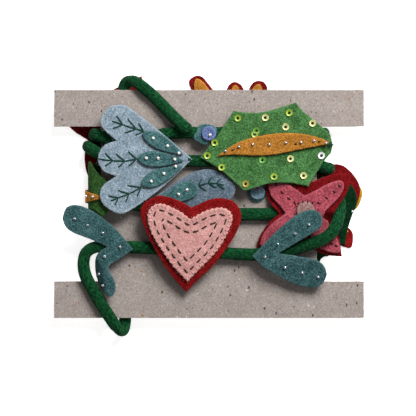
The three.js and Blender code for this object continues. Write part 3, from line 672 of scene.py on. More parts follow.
LEAVES = [
    Cut("blue_leaf", "blue", "blue_felt", from_tip(LOBES, **FRONT_LEAF), front_leaf_lie),
    *[Cut(f"blue_leaf_{name}_petal", "teal", "teal_felt", from_tip(rows, **FRONT_LEAF),
          front_leaf_lie, ON_BENT, "laid", ("blue_leaf",)) for name, rows in LOBE_PETALS.items()],
    Cut("slate_leaf", "slate", "slate_felt", [
        (-38.6, -3.0, CORNER), (-24.2, -21.5), (-8.5, -36.8), (-1.5, -39.8), (7.0, -36.3),
        (10.2, -30.4), (8.6, -24.7), (2.4, -19.1, CORNER), (9.9, -17.4), (14.3, -11.0),
        (12.2, -3.6), (5.6, -1.4, CORNER), (11.5, 1.2), (15.2, 3.8), (17.1, 7.9), (16.6, 12.6),
        (11.6, 17.6), (6.2, 21), (-0.1, 22.4), (-8.3, 21.1), (-13.8, 18.6), (-21.9, 13.9),
        (-30, 8), (-36.4, 2.8)],
        back_leaf_lie, 0.0, "draped", ("rope", "card")),
    Cut("slate_leaf_petal", "teal", "teal_felt", [
        (-36.5, -2.8, CORNER), (-34.4, 2.2), (-30, 6), (-25, 9.5), (-20, 12.4), (-15, 14),
        (-11, 13.5), (-7.9, 11.2), (-6.9, 8.6), (-8.3, 5.8), (-12.8, 2.7), (-17.4, 1.3),
        (-24, -0.8), (-31, -2.8)],
        back_leaf_lie, 1.0, "laid", ("slate_leaf",)),
    Cut("teal_leaf_left", "deep_teal", "deep_teal_felt", two_sided(
        (-95.6, -9.4), (-65.5, -61),
        [(-93.3, -3), (-88.5, -0.9), (-82.5, -1.9), (-73.4, -6.4), (-60.3, -17.2),
         (-49.5, -29.9, CORNER), (-58.8, -36.5), (-64.4, -40), (-65.2, -43.5), (-62.4, -48.5),
         (-60.8, -53.8), (-62.2, -59.6)],
        [(-93.6, -15), (-88.4, -19), (-77.7, -23.2), (-66.4, -28.2, CORNER), (-71.6, -31.6),
         (-73.9, -35.6), (-74.2, -42), (-72.8, -50), (-69, -57.6)]),
        left_teal_lie, 0.0, "folded"),
    Cut("teal_leaf_right", "deep_teal", "deep_teal_felt", two_sided(
        (73.8, -11.6), (76.9, -46.2),
        [(72.2, -6.6), (68, -4.2), (62, -4.8), (55.5, -8.2), (44.7, -17.2),
         (28.2, -34.3, CORNER), (36.6, -42.1), (52.9, -51.4), (61, -54), (68.5, -55),
         (74.4, -51.8)],
        [(71.8, -16.2), (62.7, -22), (45.3, -32.4, CORNER), (61, -34.9), (70, -37),
         (75, -40.8)]), right_teal_lie),
]
HOLLY = [
    Cut("holly_leaf", "holly", "holly_felt", two_sided(
        (-5.9, 30), (80.6, 38),
        [(5.1, 43.8), (16, 60.4, CORNER), (27.8, 59.1), (38.7, 60.3), (56.6, 65.9, CORNER),
         (60.7, 60.8), (68, 54.6), (78.9, 45.6, CORNER)],
        [(2.2, 25.3), (9.5, 20.2), (23, 8.1, CORNER), (30.7, 10.3), (38.7, 12.9), (52, 13.4),
         (64.6, 11.1, CORNER), (70.2, 20.2), (74.5, 27), (79.6, 33, CORNER)]), holly_lie),
    Cut("holly_vein", "mustard", "mustard_felt", two_sided(
        (5.2, 31), (79.4, 38.8),
        [(19.7, 40), (38.7, 45), (58, 45.6), (73.5, 42.2)],
        [(16.8, 31.7), (38.7, 31.4), (64.3, 36.2)]), holly_lie, ON_BENT, "laid",
        ("holly_leaf",)),
    Cut("wrapped_holly", "dark_holly", "dark_holly_felt", two_sided(
        (0, 3.5), (82, 4.3),
        [(4.2, 14.5, CORNER), (9.5, 19.5), (16, 27.6, CORNER), (27, 25), (42, 31.5, CORNER),
         (52, 25), (66, 21.5, CORNER), (74, 12)],
        [(3.5, -5.4), (7.1, -8.6, CORNER), (12.3, -4.4), (19, -2.6), (27, -6),
         (37, -19, CORNER), (50, -13.5), (64, -13, CORNER), (73, -3.5)]),
        wrap_lie, 0.0, "folded", ("rope", "card")),
    Cut("wrapped_holly_vein", "mustard", "mustard_felt", two_sided(
        (5.5, 3.6), (76, 4.3), [(12, 6.2), (22, 8.6), (46, 9.4)],
        [(12, 1.9), (22, 0.6), (46, -0.4)]), wrap_lie, 1.0, "folded", ("wrapped_holly",)),
]
HEART = [
    Cut("heart_red", "red", "red_felt", [
        (-14.9, -57.8, CORNER), (-26.8, -43.6), (-38.6, -23.6), (-44.5, -7.3), (-42.6, -0.4),
        (-38, 3), (-31.4, 5.2), (-20.5, 2.3), (-11.2, -2.6, CORNER), (-0.6, 2.2), (7.5, 3.5),
        (16.6, 0.8), (21, -8.7), (15.9, -22.4), (3.1, -39.9), (-6.2, -48.8)], heart_lie),
    Cut("heart_pink", "pink", "pink_felt", [
        (-14.1, -50.9, CORNER), (-25.9, -37.6), (-36.9, -20.6), (-40.3, -8.2), (-37.4, -1.9),
        (-30.9, 0.2), (-20.5, -4), (-11.9, -9.6, CORNER), (-2, -4.4), (8.4, -2.4), (15, -6.8),
        (14.1, -15.1), (5.8, -30.2), (-6.6, -43)], heart_lie, ON_BENT, "laid", ("heart_red",)),
]
FLOWERS = [
    Cut("flower_red", "wine", "wine_felt", [
        (92, 19.8, CORNER), (82.8, 19.3), (74.6, 17.1), (67, 14.2), (59, 13.6, CORNER),
        (49, 15.8), (37.8, 15.6, CORNER), (37.1, 8.5), (39.6, 0.8), (45.9, -6.8, CORNER),
        (38.6, -13), (32.4, -23), (31.2, -29.1, CORNER), (42, -28.6), (53, -24.4),
        (61, -20.5, CORNER), (65, -26.4), (70.3, -30.7), (77.4, -33.8), (87.1, -34.8, CORNER),
        (85, -22.5), (81.4, -14), (80, -8.4, CORNER), (84.6, -1.2), (89.6, 6.6), (91.9, 13)],
        flower_lie, 0.0, "draped", ("rope", "card")),
    Cut("flower_rose", "rose", "rose_felt", [
        (62.1, 5.1, CORNER), (69.2, 8.4), (77.3, 12.8), (84.6, 15.2), (88, 12.4), (85.3, 5),
        (73.8, -6.6, CORNER), (78.6, -14.9), (84, -23.4), (85.2, -31.8), (78.4, -31.6),
        (70.6, -27.4), (62.4, -16.6, CORNER), (52, -21.6), (41, -26.6), (34.4, -27.2),
        (35.6, -20.4), (41.6, -12.8), (49.8, -6.4, CORNER), (44.7, -0.3), (40.9, 5.7),
        (39.6, 12.6), (47, 13.2), (55.4, 10)], flower_lie, ON_BENT + 0.24, "laid",
        ("flower_red",)),
    Cut("flower_centre", "blush", "blush_felt", disc_outline(FLOWER, 5.9), flower_lie,
        2 * ON_BENT + 0.2, "laid", ("flower_rose",)),
    Cut("violet_flower_backing", "teal", "teal_felt", [
        (-10.2, 42.3), (-8.6, 46.6), (-6.2, 51), (-1, 51.8), (4, 50), (5.2, 46.4), (2.6, 42.6),
        (-2.2, 38.2), (-6, 39.6)], violet_lie),
    Cut("violet_flower", "violet", "violet_felt", disc_outline((-0.1, 45.7), 4.8), violet_lie,
        1.0, "laid", ("violet_flower_backing",)),
    Cut("sky_flower_backing", "teal", "teal_felt", disc_outline((31.2, 6.9), 6), sky_lie, 0.0,
        "laid", ("card",)),
    Cut("sky_flower", "sky", "sky_felt", disc_outline((31.8, 7.4), 4.85), sky_lie, 1.0, "laid",
        ("sky_flower_backing",)),
]
BACK_SHAPES = [
    Cut("back_flower_wine", "wine", "wine_felt", [
        (-44.4, 84.2, CORNER), (-41.9, 70), (-46.5, 59.5), (-50, 54, CORNER), (-39, 46),
        (-30.5, 33, CORNER), (-44, 29.5), (-56.5, 36, CORNER), (-63, 22), (-76.5, 10.8, CORNER),
        (-81, 21.6), (-82, 32.6), (-79.4, 41.5, CORNER), (-90, 48.5), (-98.4, 58.6, CORNER),
        (-84, 65.5), (-72, 64, CORNER), (-63, 75)], floor_lie, 0.0, "hung"),
    Cut("back_fan_red", "wine", "wine_felt", [
        (28, 49), (36, 62), (38.6, 74), (36.8, 79.6), (32.5, 81), (28.6, 79.3), (26.4, 75.6),
        (24.7, 71.5, CORNER), (23.4, 74.4), (21.2, 78.2), (17.4, 80.2), (13.5, 78.6),
        (10.8, 73), (8.4, 66, CORNER), (6, 70.6), (0, 78.5), (-5, 83.9), (-10, 83.8),
        (-13.2, 79), (-6, 66), (6, 52), (16, 38, CORNER)], floor_lie, 0.0, "hung"),
    *[Cut(f"back_fan_{name}_petal", "mustard", "mustard_felt", petal_outline(*where),
          floor_lie, 1.0, "laid", ("back_fan_red",)) for name, where in {
              "left": ((7, 46), (-8.4, 82.4), 5), "middle": ((16.6, 44), (17.4, 78.3), 4.2),
              "right": ((23.5, 46), (33.2, 79), 4.7)}.items()],
    Cut("edge_petal_yellow", "yellow", "yellow_felt", [
        (81, 22), (90, 21.5), (96.4, 15.6), (100.9, 8.6), (100.5, 3), (97.2, -3.2),
        (90, -6.2), (80, -4.6), (73.4, 3.4), (73.6, 14)], floor_lie, 0.0, "hung"),
    Cut("edge_petal_red", "wine", "wine_felt", [
        (73.2, 23), (83, 26), (89.5, 24.2), (95.4, 18.8), (99.3, 11.5), (99, 4.5),
        (95.6, -1.4), (88, -3.8), (79.6, -2), (74.4, 4), (69, 13.6)],
        floor_lie, 1.0, "laid", ("edge_petal_yellow",)),
    Cut("pine_leaf", "pine", "pine_felt", two_sided(
        (93.2, 13), (72.4, -39.6),
        [(96.7, 6.5), (97.2, -0.8), (94.7, -6.3), (92.2, -14.3), (90.6, -21),
         (89.7, -27.8, CORNER), (86.4, -27), (84.6, -31.8, CORNER), (81.4, -31.4),
         (78.4, -34.8, CORNER), (74.8, -35.4)],
        [(90, 7.6), (85.6, 2), (81, -3.6), (76.4, -9.6), (72, -17, CORNER), (70, -24),
         (66.4, -31, CORNER), (68.2, -36)]), pine_lie, 0.0, "hung", ("edge_petal_red",)),
    Cut("edge_bud_red", "red", "red_felt", [
        (91.7, -15.8, CORNER), (94.5, -18.6), (95, -23.4), (94.4, -28.2), (92.4, -29.6, CORNER),
        (86, -27.4), (83, -22.4), (86, -17.6)], floor_lie, 0.1, "hung"),
]

CUTS = {cut.node: cut for cut in (*LEAVES, *HOLLY, *HEART, *FLOWERS, *BACK_SHAPES)}

# Beads and sequins: x, y on the drawing of the sheet that each is sewn to

PEARLS = {
    "blue_leaf_upper_petal": [(-36.5, 42.3), (-27.2, 37.3), (-19.8, 32.6)],
    "blue_leaf_middle_petal": [(-41.1, 29.5), (-33.3, 29.4), (-22.6, 28.8)],
    "blue_leaf_lower_petal": [(-21.9, 24.2), (-29.6, 19.5), (-37.8, 14.5)],
    "slate_leaf_petal": [(-14.3, 8.8), (-19.8, 6.0)],
    "violet_flower": [(0.7, 44.5)],
}
SILVER_BEADS = {
    "holly_vein": [(10.6, 34.1), (19.5, 36.8), (28.5, 38.4), (39.2, 38.3), (50.0, 39.4),
                   (59.8, 39.8), (68.3, 40.7), (76.6, 39.2)],
    "wrapped_holly_vein": [(16.3, 4.8), (12.1, 4.3)],
}
CLEAR_BEADS = {
    "teal_leaf_left": [(-87.6, -10.0), (-79.1, -14.3), (-69.2, -19.3), (-58.0, -28.4),
                       (-68.1, -34.5), (-70.8, -45.9), (-68.4, -53.4)],
    "teal_leaf_right": [(65.1, -13.6), (56.3, -19.3), (44.9, -26.2), (36.5, -34.8),
                        (49.5, -41.3), (60.8, -44.8), (71.1, -47.6)],
    "pine_leaf": [(94.4, -5.2)],
}
AMBER_BEADS = {"edge_bud_red": [(90.8, -18.4)]}
SEQUINS = {
    "lime": [(18.8, 55.7), (52.3, 59.1), (29.8, 45.2), (3.8, 39.7), (-1.1, 31.2), (8.3, 23.4),
             (42.4, 17.3)],
    "leaf_green": [(34.8, 28.2), (31.0, 47.4)],
    "straw": [(36.7, 56.0), (50.0, 49.9), (67.5, 52.3), (53.1, 29.1), (61.6, 18.0)],
    "white": [(73.4, 31.3)],
    "gold": [(23.9, 12.7)],
}

# Stitches: start and end on the drawing of the sheet that they are sewn through

FERNS = {
    "blue_leaf": [
        ((-63.1, 53.5), (-56.1, 51.2)), ((-56.1, 51.2), (-47.3, 48.5)),
        ((-47.3, 48.5), (-42.1, 46.5)), ((-60.2, 57.1), (-56.1, 51.2)),
        ((-62.5, 48.9), (-56.1, 51.2)), ((-52.9, 55.0), (-47.3, 48.5)),
        ((-54.9, 45.8), (-47.3, 48.5)), ((-45.9, 52.3), (-42.6, 46.8)),
        ((-47.9, 44.5), (-42.6, 46.8)),
        ((-71.9, 29.1), (-63.1, 27.8)), ((-63.1, 27.8), (-54.3, 27.5)),
        ((-54.3, 27.5), (-46.7, 29.0)), ((-67.5, 32.5), (-62.6, 27.8)),
        ((-67.5, 24.3), (-62.6, 27.8)), ((-60.5, 32.2), (-54.6, 27.6)),
        ((-59.0, 23.4), (-54.6, 27.6)), ((-52.5, 33.7), (-47.0, 29.0)),
        ((-52.3, 24.3), (-47.0, 29.0)),
        ((-59.0, 3.8), (-52.0, 6.4)), ((-52.0, 6.4), (-44.3, 10.5)),
        ((-65.4, 5.0), (-59.0, 3.8)), ((-63.7, 1.8), (-59.0, 3.8)),
        ((-61.3, -0.9), (-59.0, 3.8)), ((-59.0, 8.5), (-52.0, 6.4)),
        ((-54.3, 0.9), (-52.0, 6.4)), ((-52.9, 11.7), (-44.3, 10.5)),
        ((-46.7, 4.7), (-44.3, 10.5)),
        ((-13.6, 29.6), (-11.9, 28.2)), ((-13.4, 28.0), (-11.8, 29.4)),
    ],
    "slate_leaf": [
        ((-6.8, 11.7), (-0.7, 13.0)), ((-0.7, 13.0), (4.8, 13.0)), ((4.8, 13.0), (9.6, 11.9)),
        ((-4.7, 15.9), (-6.8, 11.7)), ((-1.7, 8.2), (-6.8, 11.7)), ((1.6, 16.8), (-0.7, 13.0)),
        ((4.7, 10.2), (-0.7, 13.0)), ((7.7, 15.9), (4.8, 13.0)), ((10.0, 9.3), (4.8, 13.0)),
    ],
    "holly_vein": [
        ((78.6, 37.0), (80.3, 39.8)), ((78.0, 38.9), (81.2, 38.3)), ((80.5, 37.0), (78.9, 39.9)),
    ],
}
SHORT_STITCHES = {
    "flower_rose": [
        ((84.2, 12.1), (85.6, 11.1)), ((80.7, 8.1), (82.2, 7.0)), ((75.9, 4.0), (77.3, 2.9)),
        ((70.6, 0.7), (72.3, -0.1)), ((43.3, 13.0), (44.8, 11.8)), ((47.6, 7.4), (49.1, 6.0)),
        ((51.8, 3.4), (53.2, 2.2)), ((55.2, 1.1), (56.3, -0.4)), ((79.2, -25.8), (80.9, -26.7)),
        ((82.3, -27.2), (83.9, -28.2)),
    ],
    "holly_vein": [
        ((14.7, 34.7), (15.9, 34.9)), ((55.7, 38.7), (57.0, 38.7)), ((71.2, 40.3), (72.3, 40.2)),
    ],
    "flower_centre": [
        ((58.5, -0.5), (57.9, 0.2)), ((61.1, 0.8), (60.9, 1.7)), ((64.1, 0.9), (64.3, 1.8)),
        ((67.0, 0.0), (67.5, 0.7)),
    ],
}
MAGENTA_STITCHES = {"sky_flower": [((30.0, 10.6), (32.6, 9.4)), ((31.0, 9.2), (32.4, 10.6))]}


def running_stitches(rows, inset, dash, space):
    """Dashes along a line that keeps a distance inside a closed outline."""
    outline = smooth_outline(rows, 0.6)
    inward = turn_of(outline)
    near = kdtree.KDTree(len(outline))
    for k, (x, y) in enumerate(outline):
        near.insert((x, y, 0), k)
    near.balance()
    line = []
    for k, (x, y) in enumerate(outline):
        before, after = outline[k - 1], outline[(k + 1) % len(outline)]
        way = Vector((after[0] - before[0], after[1] - before[1])).normalized() * inward
        spot = Vector((x - way.y * inset, y + way.x * inset, 0))
        if near.find(spot)[2] > inset * 0.97:
            line.append(spot.xy)
    lengths = [0.0]
    for a, b in zip(line, line[1:] + line[:1]):
        lengths.append(lengths[-1] + (b - a).length)

    def at(run):
        run %= lengths[-1]
        k = max(i for i in range(len(line)) if lengths[i] <= run)
        t = (run - lengths[k]) / (lengths[k + 1] - lengths[k])
        return tuple(line[k].lerp(line[(k + 1) % len(line)], t))
    count = round(lengths[-1] / (dash + space))
    pitch = lengths[-1] / count
    share = dash / (dash + space)
    return [(at(k * pitch), at((k + share) * pitch)) for k in range(count)]


def whip_places(rows, pitch):
    """Places evenly along a closed outline, each with its direction inward."""
    outline = smooth_outline(rows, pitch / 6)
    inward = turn_of(outline)
    places = []
    for k in range(0, len(outline) - 3, 6):
        before, after = outline[k - 1], outline[(k + 1) % len(outline)]
        way = Vector((after[0] - before[0], after[1] - before[1])).normalized() * inward
        places.append((tuple(outline[k]), (-way.y, way.x)))
    return places


NOTCHES["heart_pink"] = whip_places(CUTS["heart_pink"].rows, WHIP_PITCH)
WHIP_STITCHES = {"heart_pink": [
    ((x + ix * 2.5, y + iy * 2.5), (x + ix * 0.6, y + iy * 0.6))
    for (x, y), (ix, iy) in NOTCHES["heart_pink"]]}
HEART_STITCHES = {"heart_pink": [
    *running_stitches(CUTS["heart_pink"].rows, 4.4, 3.3, 2.8),
    *running_stitches(CUTS["heart_pink"].rows, 9.3, 3.4, 2.8)]}

for table, depth, reach in ((PEARLS, 0.2, 2.0), (SILVER_BEADS, 0.2, 1.8),
                            (CLEAR_BEADS, 0.25, 2.2), (AMBER_BEADS, 0.2, 2.0)):
    for sheet_name, spots in table.items():
        PUCKERS.setdefault(sheet_name, []).extend((x, y, depth, reach) for x, y in spots)
for table, depth, reach in ((FERNS, 0.1, 1.3), (SHORT_STITCHES, 0.16, 1.4),
                            (HEART_STITCHES, 0.26, 1.7), (MAGENTA_STITCHES, 0.2, 1.4)):
    for sheet_name, stitches in table.items():
        for ends in stitches:
            PUCKERS.setdefault(sheet_name, []).extend((x, y, depth, reach) for x, y in ends)

# Middle of the rope from the end tucked under the bottom bar to the end by the violet flower

F, B = ROPE_FRONT, ROPE_BACK
ROPE_ROUTE = [
    (-55.5, -60, B), (-55, -70, B), (-55.3, -78.5, B + 0.1), (-56.5, -83.2, B + 2.3),
    (-58.5, -83.6, B + 5.5), (-61.5, -79.5, F - 0.4), (-66.2, -72.4, F), (-72, -63.2, F),
    (-76.6, -55.3, F), (-80.6, -47.5, F), (-82, -38.5, F), (-80, -32, F), (-74.5, -28.6, F),
    # fourth pass over the front
    (-66, -28, F), (-51.7, -28.5, F), (-28.8, -29.5, F + 1.2), (-12.4, -30.5, F + 2.4),
    (4, -31.8, F + 2.4), (20.3, -33.1, F + 1.2), (36, -33.3, F + 1.2), (48, -31.8, F + 1.8),
    (61.6, -27.8, F + 3.7), (71.8, -24.2, F + 4.9), (78.8, -20, F + 5.2), (82.8, -14.4, F + 3.9),
    (84.9, -8.4, F + 0.9), (85.6, -3, F - 1.8), (85.3, 1.6, F - 4.4), (83, 4.9, B + 2.1),
    (78.6, 5.6, B + 0.2), (71, 4.9, B), (60, 4.4, B), (20, 2.4, B),
    (-20, 1.5, B), (-50, 3, B),
    # third pass
    (-64, 4, B), (-70.7, 4.3, B - 0.1), (-73.6, 4, B + 1.4), (-74.4, 3.5, B + 4.5),
    (-73.6, 3, F - 1.4), (-70.7, 2.6, F + 0.1), (-64, 1.5, F), (-50, -0.8, F), (-25, -4, F),
    (5, -6.5, F), (25, -7, F), (40, -6.6, F), (51, -3.6, F), (60, 1.8, F), (67, 7.2, F),
    # right turn and the way back up to the loose loop
    (71.6, 11, F + 0.1), (75.1, 13.3, F - 1.4), (76.4, 14.2, F - 4.5), (75, 14.4, B + 1.4),
    (71.2, 14.6, B - 0.1), (60, 15.6, B), (20, 21.4, B), (-20, 27, B), (-50, 31, B),
    (-66, 34.2, B), (-73, 36.1, B + 0.3), (-78.3, 37.3, B + 2.2), (-80, 37.3, B + 5),
    (-78.4, 36.3, F - 1),
    # second pass
    (-74, 33.6, F + 0.2), (-67.5, 30.4, F), (-57, 28.6, F), (-25, 28.3, F), (-5, 27.9, F),
    (20, 29.5, F), (45, 31.4, F), (60, 30, F), (69, 26.4, F + 0.1), (76, 23.6, F - 0.8),
    (79.5, 22.7, F - 4), (78, 22.7, B + 1.8), (71.5, 23.8, B + 0.1), (62, 26.4, B),
    (20, 33, B), (-20, 38.5, B), (-50, 43, B), (-64, 44.5, B),
    # first pass
    (-70.7, 45, B - 0.1), (-74.6, 45.1, B + 1.6), (-76, 45.1, B + 4.5), (-74.6, 45.1, F - 1.5),
    (-70.7, 43.8, F + 0.1), (-64, 41, F), (-52, 40.6, F), (-25, 46.2, F), (0, 46, F),
    (33, 46, F), (60, 45.8, F), (70.7, 45.7, F + 0.1), (74.6, 45.7, F - 1.5),
    (76.1, 45.7, F - 4.5), (74.6, 45.7, B + 1.6), (70.7, 45.7, B - 0.1), (62, 45.8, B),
    # under the top bar, over its edge and down to the free end
    (20, 47, B), (-15, 51, B), (-40, 58, B), (-52, 66, B), (-55.8, 73.4, B - 0.1),
    (-54.4, 78.8, B + 1.7), (-49.8, 80, F - 3.4), (-44.5, 77, F - 0.4), (-39.5, 72.9, F + 0.2),
    (-33.4, 67.1, F), (-27, 60.6, F + 0.7), (-21.5, 55, F + 3.4), (-17.5, 51.2, F + 6.1),
    (-12.6, 46.8, F + 6.7),
]


def route_span(p0, p1, p2, p3, t):
    """A point and direction of the smooth curve from p1 to p2, evenly taut between its points."""
    d0, d1, d2 = [(b - a).length ** 0.5 for a, b in ((p0, p1), (p1, p2), (p2, p3))]
    pull = ((p1 - p0) / d0 - (p2 - p0) / (d0 + d1) + (p2 - p1) / d1) * d1
    push = ((p2 - p1) / d1 - (p3 - p1) / (d1 + d2) + (p3 - p2) / d2) * d1
    a = 2 * p1 - 2 * p2 + pull + push
    b = -3 * p1 + 3 * p2 - 2 * pull - push
    return ((a * t + b) * t + pull) * t + p1, (3 * a * t + 2 * b) * t + pull


def rope_stations(rows, spacing):
    """Points along the rope with their direction, its thin way and the length so far."""
    points = [Vector(row) for row in rows]
    points = [2 * points[0] - points[1], *points, 2 * points[-1] - points[-2]]
    stations, thin, run, before = [], Vector((0, 0, 1)), 0.0, None
    for i in range(1, len(points) - 2):
        parts = max(2, round((points[i + 1] - points[i]).length / spacing))
        last = i == len(points) - 3
        for k in range(parts + last):
            point, direction = route_span(*points[i - 1:i + 3], k / parts)
            direction.normalize()
            thin = (thin - direction * thin.dot(direction)).normalized()
            if abs(direction.z) < 0.6:
                level = Vector((0, 0, 1)) - direction * direction.z
                if level.dot(thin) < 0:
                    level.negate()
                thin = thin.lerp(level.normalized(), 0.45).normalized()
            run += (point - before).length if before else 0.0
            stations.append((point, direction, thin.copy(), run))
            before = point
    return stations


def sweep(bm, stations, ring, sides):
    """Rings round the stations, bridged to a tube. ring(station, angle) gives the reach of the
    thin and of the wide way at that angle."""
    previous, first = None, None
    for station in stations:
        point, direction, thin, _ = station
        wide = direction.cross(thin)
        made = bmesh.ops.create_circle(bm, cap_ends=False, radius=1.0, segments=sides)["verts"]
        for k, v in enumerate(made):
            angle = 2 * math.pi * k / sides
            reach = ring(station, angle, v)
            v.co = point + thin * reach[0] * math.cos(angle) + wide * reach[1] * math.sin(angle)
        edges = [bm.edges.get((made[k], made[(k + 1) % sides])) for k in range(sides)]
        if previous:
            bmesh.ops.bridge_loops(bm, edges=previous + edges)
        else:
            first = edges
        previous = edges
    for edges in (first, previous):
        bmesh.ops.edgeloop_fill(bm, edges=edges)
    bmesh.ops.recalc_face_normals(bm, faces=bm.faces)


# Operators


class GARLAND_OT_card(bpy.types.Operator):
    """Cut the H-shaped winding card out of recycled chipboard"""
    bl_idname = "garland.card"
    bl_label = "Winding card"

    def execute(self, context):
        low, high = [Vector(corner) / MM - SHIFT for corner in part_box("card")]
        bar, web = CARD_BAR, CARD_WEB
        corners = [
            (low.x, low.y), (high.x, low.y), (high.x, low.y + bar), (web, low.y + bar),
            (web, high.y - bar), (high.x, high.y - bar), (high.x, high.y), (low.x, high.y),
            (low.x, high.y - bar), (-web, high.y - bar), (-web, low.y + bar),
            (low.x, low.y + bar)]
        rows = [(x, y, CORNER) for x, y in corners]
        outline = []
        for x, y in smooth_outline(rows, CARD_STEP):
            at = Vector((x * 0.35, y * 0.35, 4.0))
            outline.append((x + 0.12 * noise.noise(at), y + 0.12 * noise.noise(at * 1.3)))
        bm = bmesh.new()
        bm.faces.new([bm.verts.new((x, y, low.z)) for x, y in outline])
        cut_cells(bm, CARD_CELL)
        bmesh.ops.recalc_face_normals(bm, faces=bm.faces)
        wall = bmesh.ops.extrude_face_region(bm, geom=bm.faces[:])["geom"]
        bmesh.ops.translate(bm, verts=[v for v in wall if isinstance(v, bmesh.types.BMVert)],
                            vec=(0, 0, high.z - low.z))
        bmesh.ops.recalc_face_normals(bm, faces=bm.faces)
        rim = [e for e in bm.edges if len(e.link_faces) == 2 and
               e.calc_face_angle(0.0) > math.radians(60) and
               abs(e.verts[0].co.z - e.verts[1].co.z) < 0.1]
        bmesh.ops.bevel(bm, geom=rim, offset=CARD_ROUNDING, segments=2, profile=0.5,
                        material=-1, affect="EDGES", offset_type="OFFSET", clamp_overlap=True)
        store_piece("card_board", bm, board_material(context.scene.garland_colours.board),
                    "board", "card", smooth=False)
        return {"FINISHED"}


class GARLAND_OT_rope(bpy.types.Operator):
    """Wind the felt rope round the card"""
    bl_idname = "garland.rope"
    bl_label = "Felt rope"

    def execute(self, context):
        sizes = context.scene.garland_sizes
        half = (sizes.rope_depth / MM / 2, sizes.rope_width / MM / 2)
        stations = rope_stations(ROPE_ROUTE, ROPE_STEP)
        total = stations[-1][3]
        bm = bmesh.new()
        lay = bm.verts.layers.float_vector.new("lay")

        def ring(station, angle, v):
            run = station[3]
            end = min(run, total - run)
            taper = math.sqrt(max(0.0, 1 - (1 - min(end / ROPE_END, 1.0)) ** 2 * 0.75))
            around = Vector((math.cos(angle) * 1.2, math.sin(angle) * 1.2, run * 0.03))
            crease = noise.noise(around * 1.4) * 0.085
            lump = noise.noise(Vector((math.cos(angle), math.sin(angle), run * 0.12))) * 0.04
            nap = Vector((math.cos(angle) * 4, math.sin(angle) * 4, run * 0.3))
            fine = noise.noise(nap) * 0.03
            v[lay] = (4.2 * math.cos(angle), 4.2 * math.sin(angle), run)
            size = taper * (0.97 + crease + lump + fine)
            return half[0] * size, half[1] * size

        sweep(bm, stations, ring, ROPE_SIDES)
        piece = store_piece("rope_felt", bm, rope_material(context.scene.garland_colours.rope),
                            "rope_felt", "rope")
        return {"FINISHED"}


FELTS = {
    # colour: name, heather, depth, sheen
    "blue": ("Pale blue", 0.16, 0.38, 0.05), "slate": ("Slate blue", 0.1, 0.4, 0.05),
    "teal": ("Teal", 0.05, 0.6, 0.02), "deep_teal": ("Deep teal", 0.05, 0.6, 0.02),
    "holly": ("Holly green", 0.02, 0.58, 0.02), "dark_holly": ("Dark green", 0.01, 0.58, 0.02),
    "mustard": ("Mustard", 0.01, 0.46, 0.02), "red": ("Red", 0.003, 0.58, 0.01),
    "wine": ("Wine red", 0.003, 0.58, 0.01), "pink": ("Pink", 0.14, 0.28, 0.04),
    "rose": ("Rose", 0.04, 0.5, 0.02), "blush": ("Blush", 0.1, 0.4, 0.04),
    "violet": ("Violet", 0.06, 0.45, 0.03), "sky": ("Sky blue", 0.12, 0.42, 0.04),
    "yellow": ("Yellow", 0.02, 0.42, 0.02), "pine": ("Pine green", 0.003, 0.58, 0.0),
}
made_felts = {}


def felts(colours):
    """The felt materials, each made once."""
    for key, (name, heather, depth, sheen) in FELTS.items():
        if key not in made_felts:
            colour = list(getattr(colours, key))
            made_felts[key] = felt_material(name, colour, heather, depth, sheen)
    return made_felts


def lay_felts(cuts, context):
    for cut in cuts:
        felt_sheet(cut, felts(context.scene.garland_colours))
    return {"FINISHED"}


class GARLAND_OT_leaves(bpy.types.Operator):
    """Cut and lay the lobed leaves and their petals"""
    bl_idname = "garland.leaves"
    bl_label = "Lobed leaves"

    def execute(self, context):
        return lay_felts(LEAVES, context)


class GARLAND_OT_holly(bpy.types.Operator):
    """Cut and lay the holly leaves and their veins"""
    bl_idname = "garland.holly"
    bl_label = "Holly leaves"

    def execute(self, context):
        return lay_felts(HOLLY, context)


class GARLAND_OT_heart(bpy.types.Operator):
    """Cut and lay the double heart"""
    bl_idname = "garland.heart"
    bl_label = "Heart"

    def execute(self, context):
        return lay_felts(HEART, context)


class GARLAND_OT_flowers(bpy.types.Operator):
    """Cut and lay the flowers on the front"""
    bl_idname = "garland.flowers"
    bl_label = "Flowers"

    def execute(self, context):
        return lay_felts(FLOWERS, context)


class GARLAND_OT_back_shapes(bpy.types.Operator):
    """Cut and lay the shapes behind the card"""
    bl_idname = "garland.back_shapes"
    bl_label = "Shapes on the back"

    def execute(self, context):
        return lay_felts(BACK_SHAPES, context)


# Seed beads and sequins. Glass beads are drawn from a rod and tumbled, so they are smooth and
# shiny; a sequin is thin moulded film with a soft metallic shine.


def bead_material(name, hexes, metallic, roughness):
    """Lustre glaze shifts a little in hue over each bead."""
    material, tree = new_material(f"{name} glass, tumbled and lustred")
    coords = add_node(tree, "ShaderNodeTexCoord").outputs["Object"]
    shift = add_node(tree, "ShaderNodeTexNoise", inputs={
        "Vector": coords, "Scale": per_mm(1.6), "Detail": 1.0}).outputs["Fac"]
    lustre = add_node(tree, "ShaderNodeValToRGB", {"ramp": [
        (0.35, linear(hexes[0])), (0.5, linear(hexes[1])), (0.65, linear(hexes[2]))]}, {
        "Fac": shift})
    surface = add_node(tree, "ShaderNodeBsdfPrincipled", inputs={
        "Base Color": lustre.outputs["Color"], "Metallic": metallic, "Roughness": roughness,
        "Coat Weight": 0.8, "Coat Roughness": 0.05})
    finish_material(tree, surface)
    return material


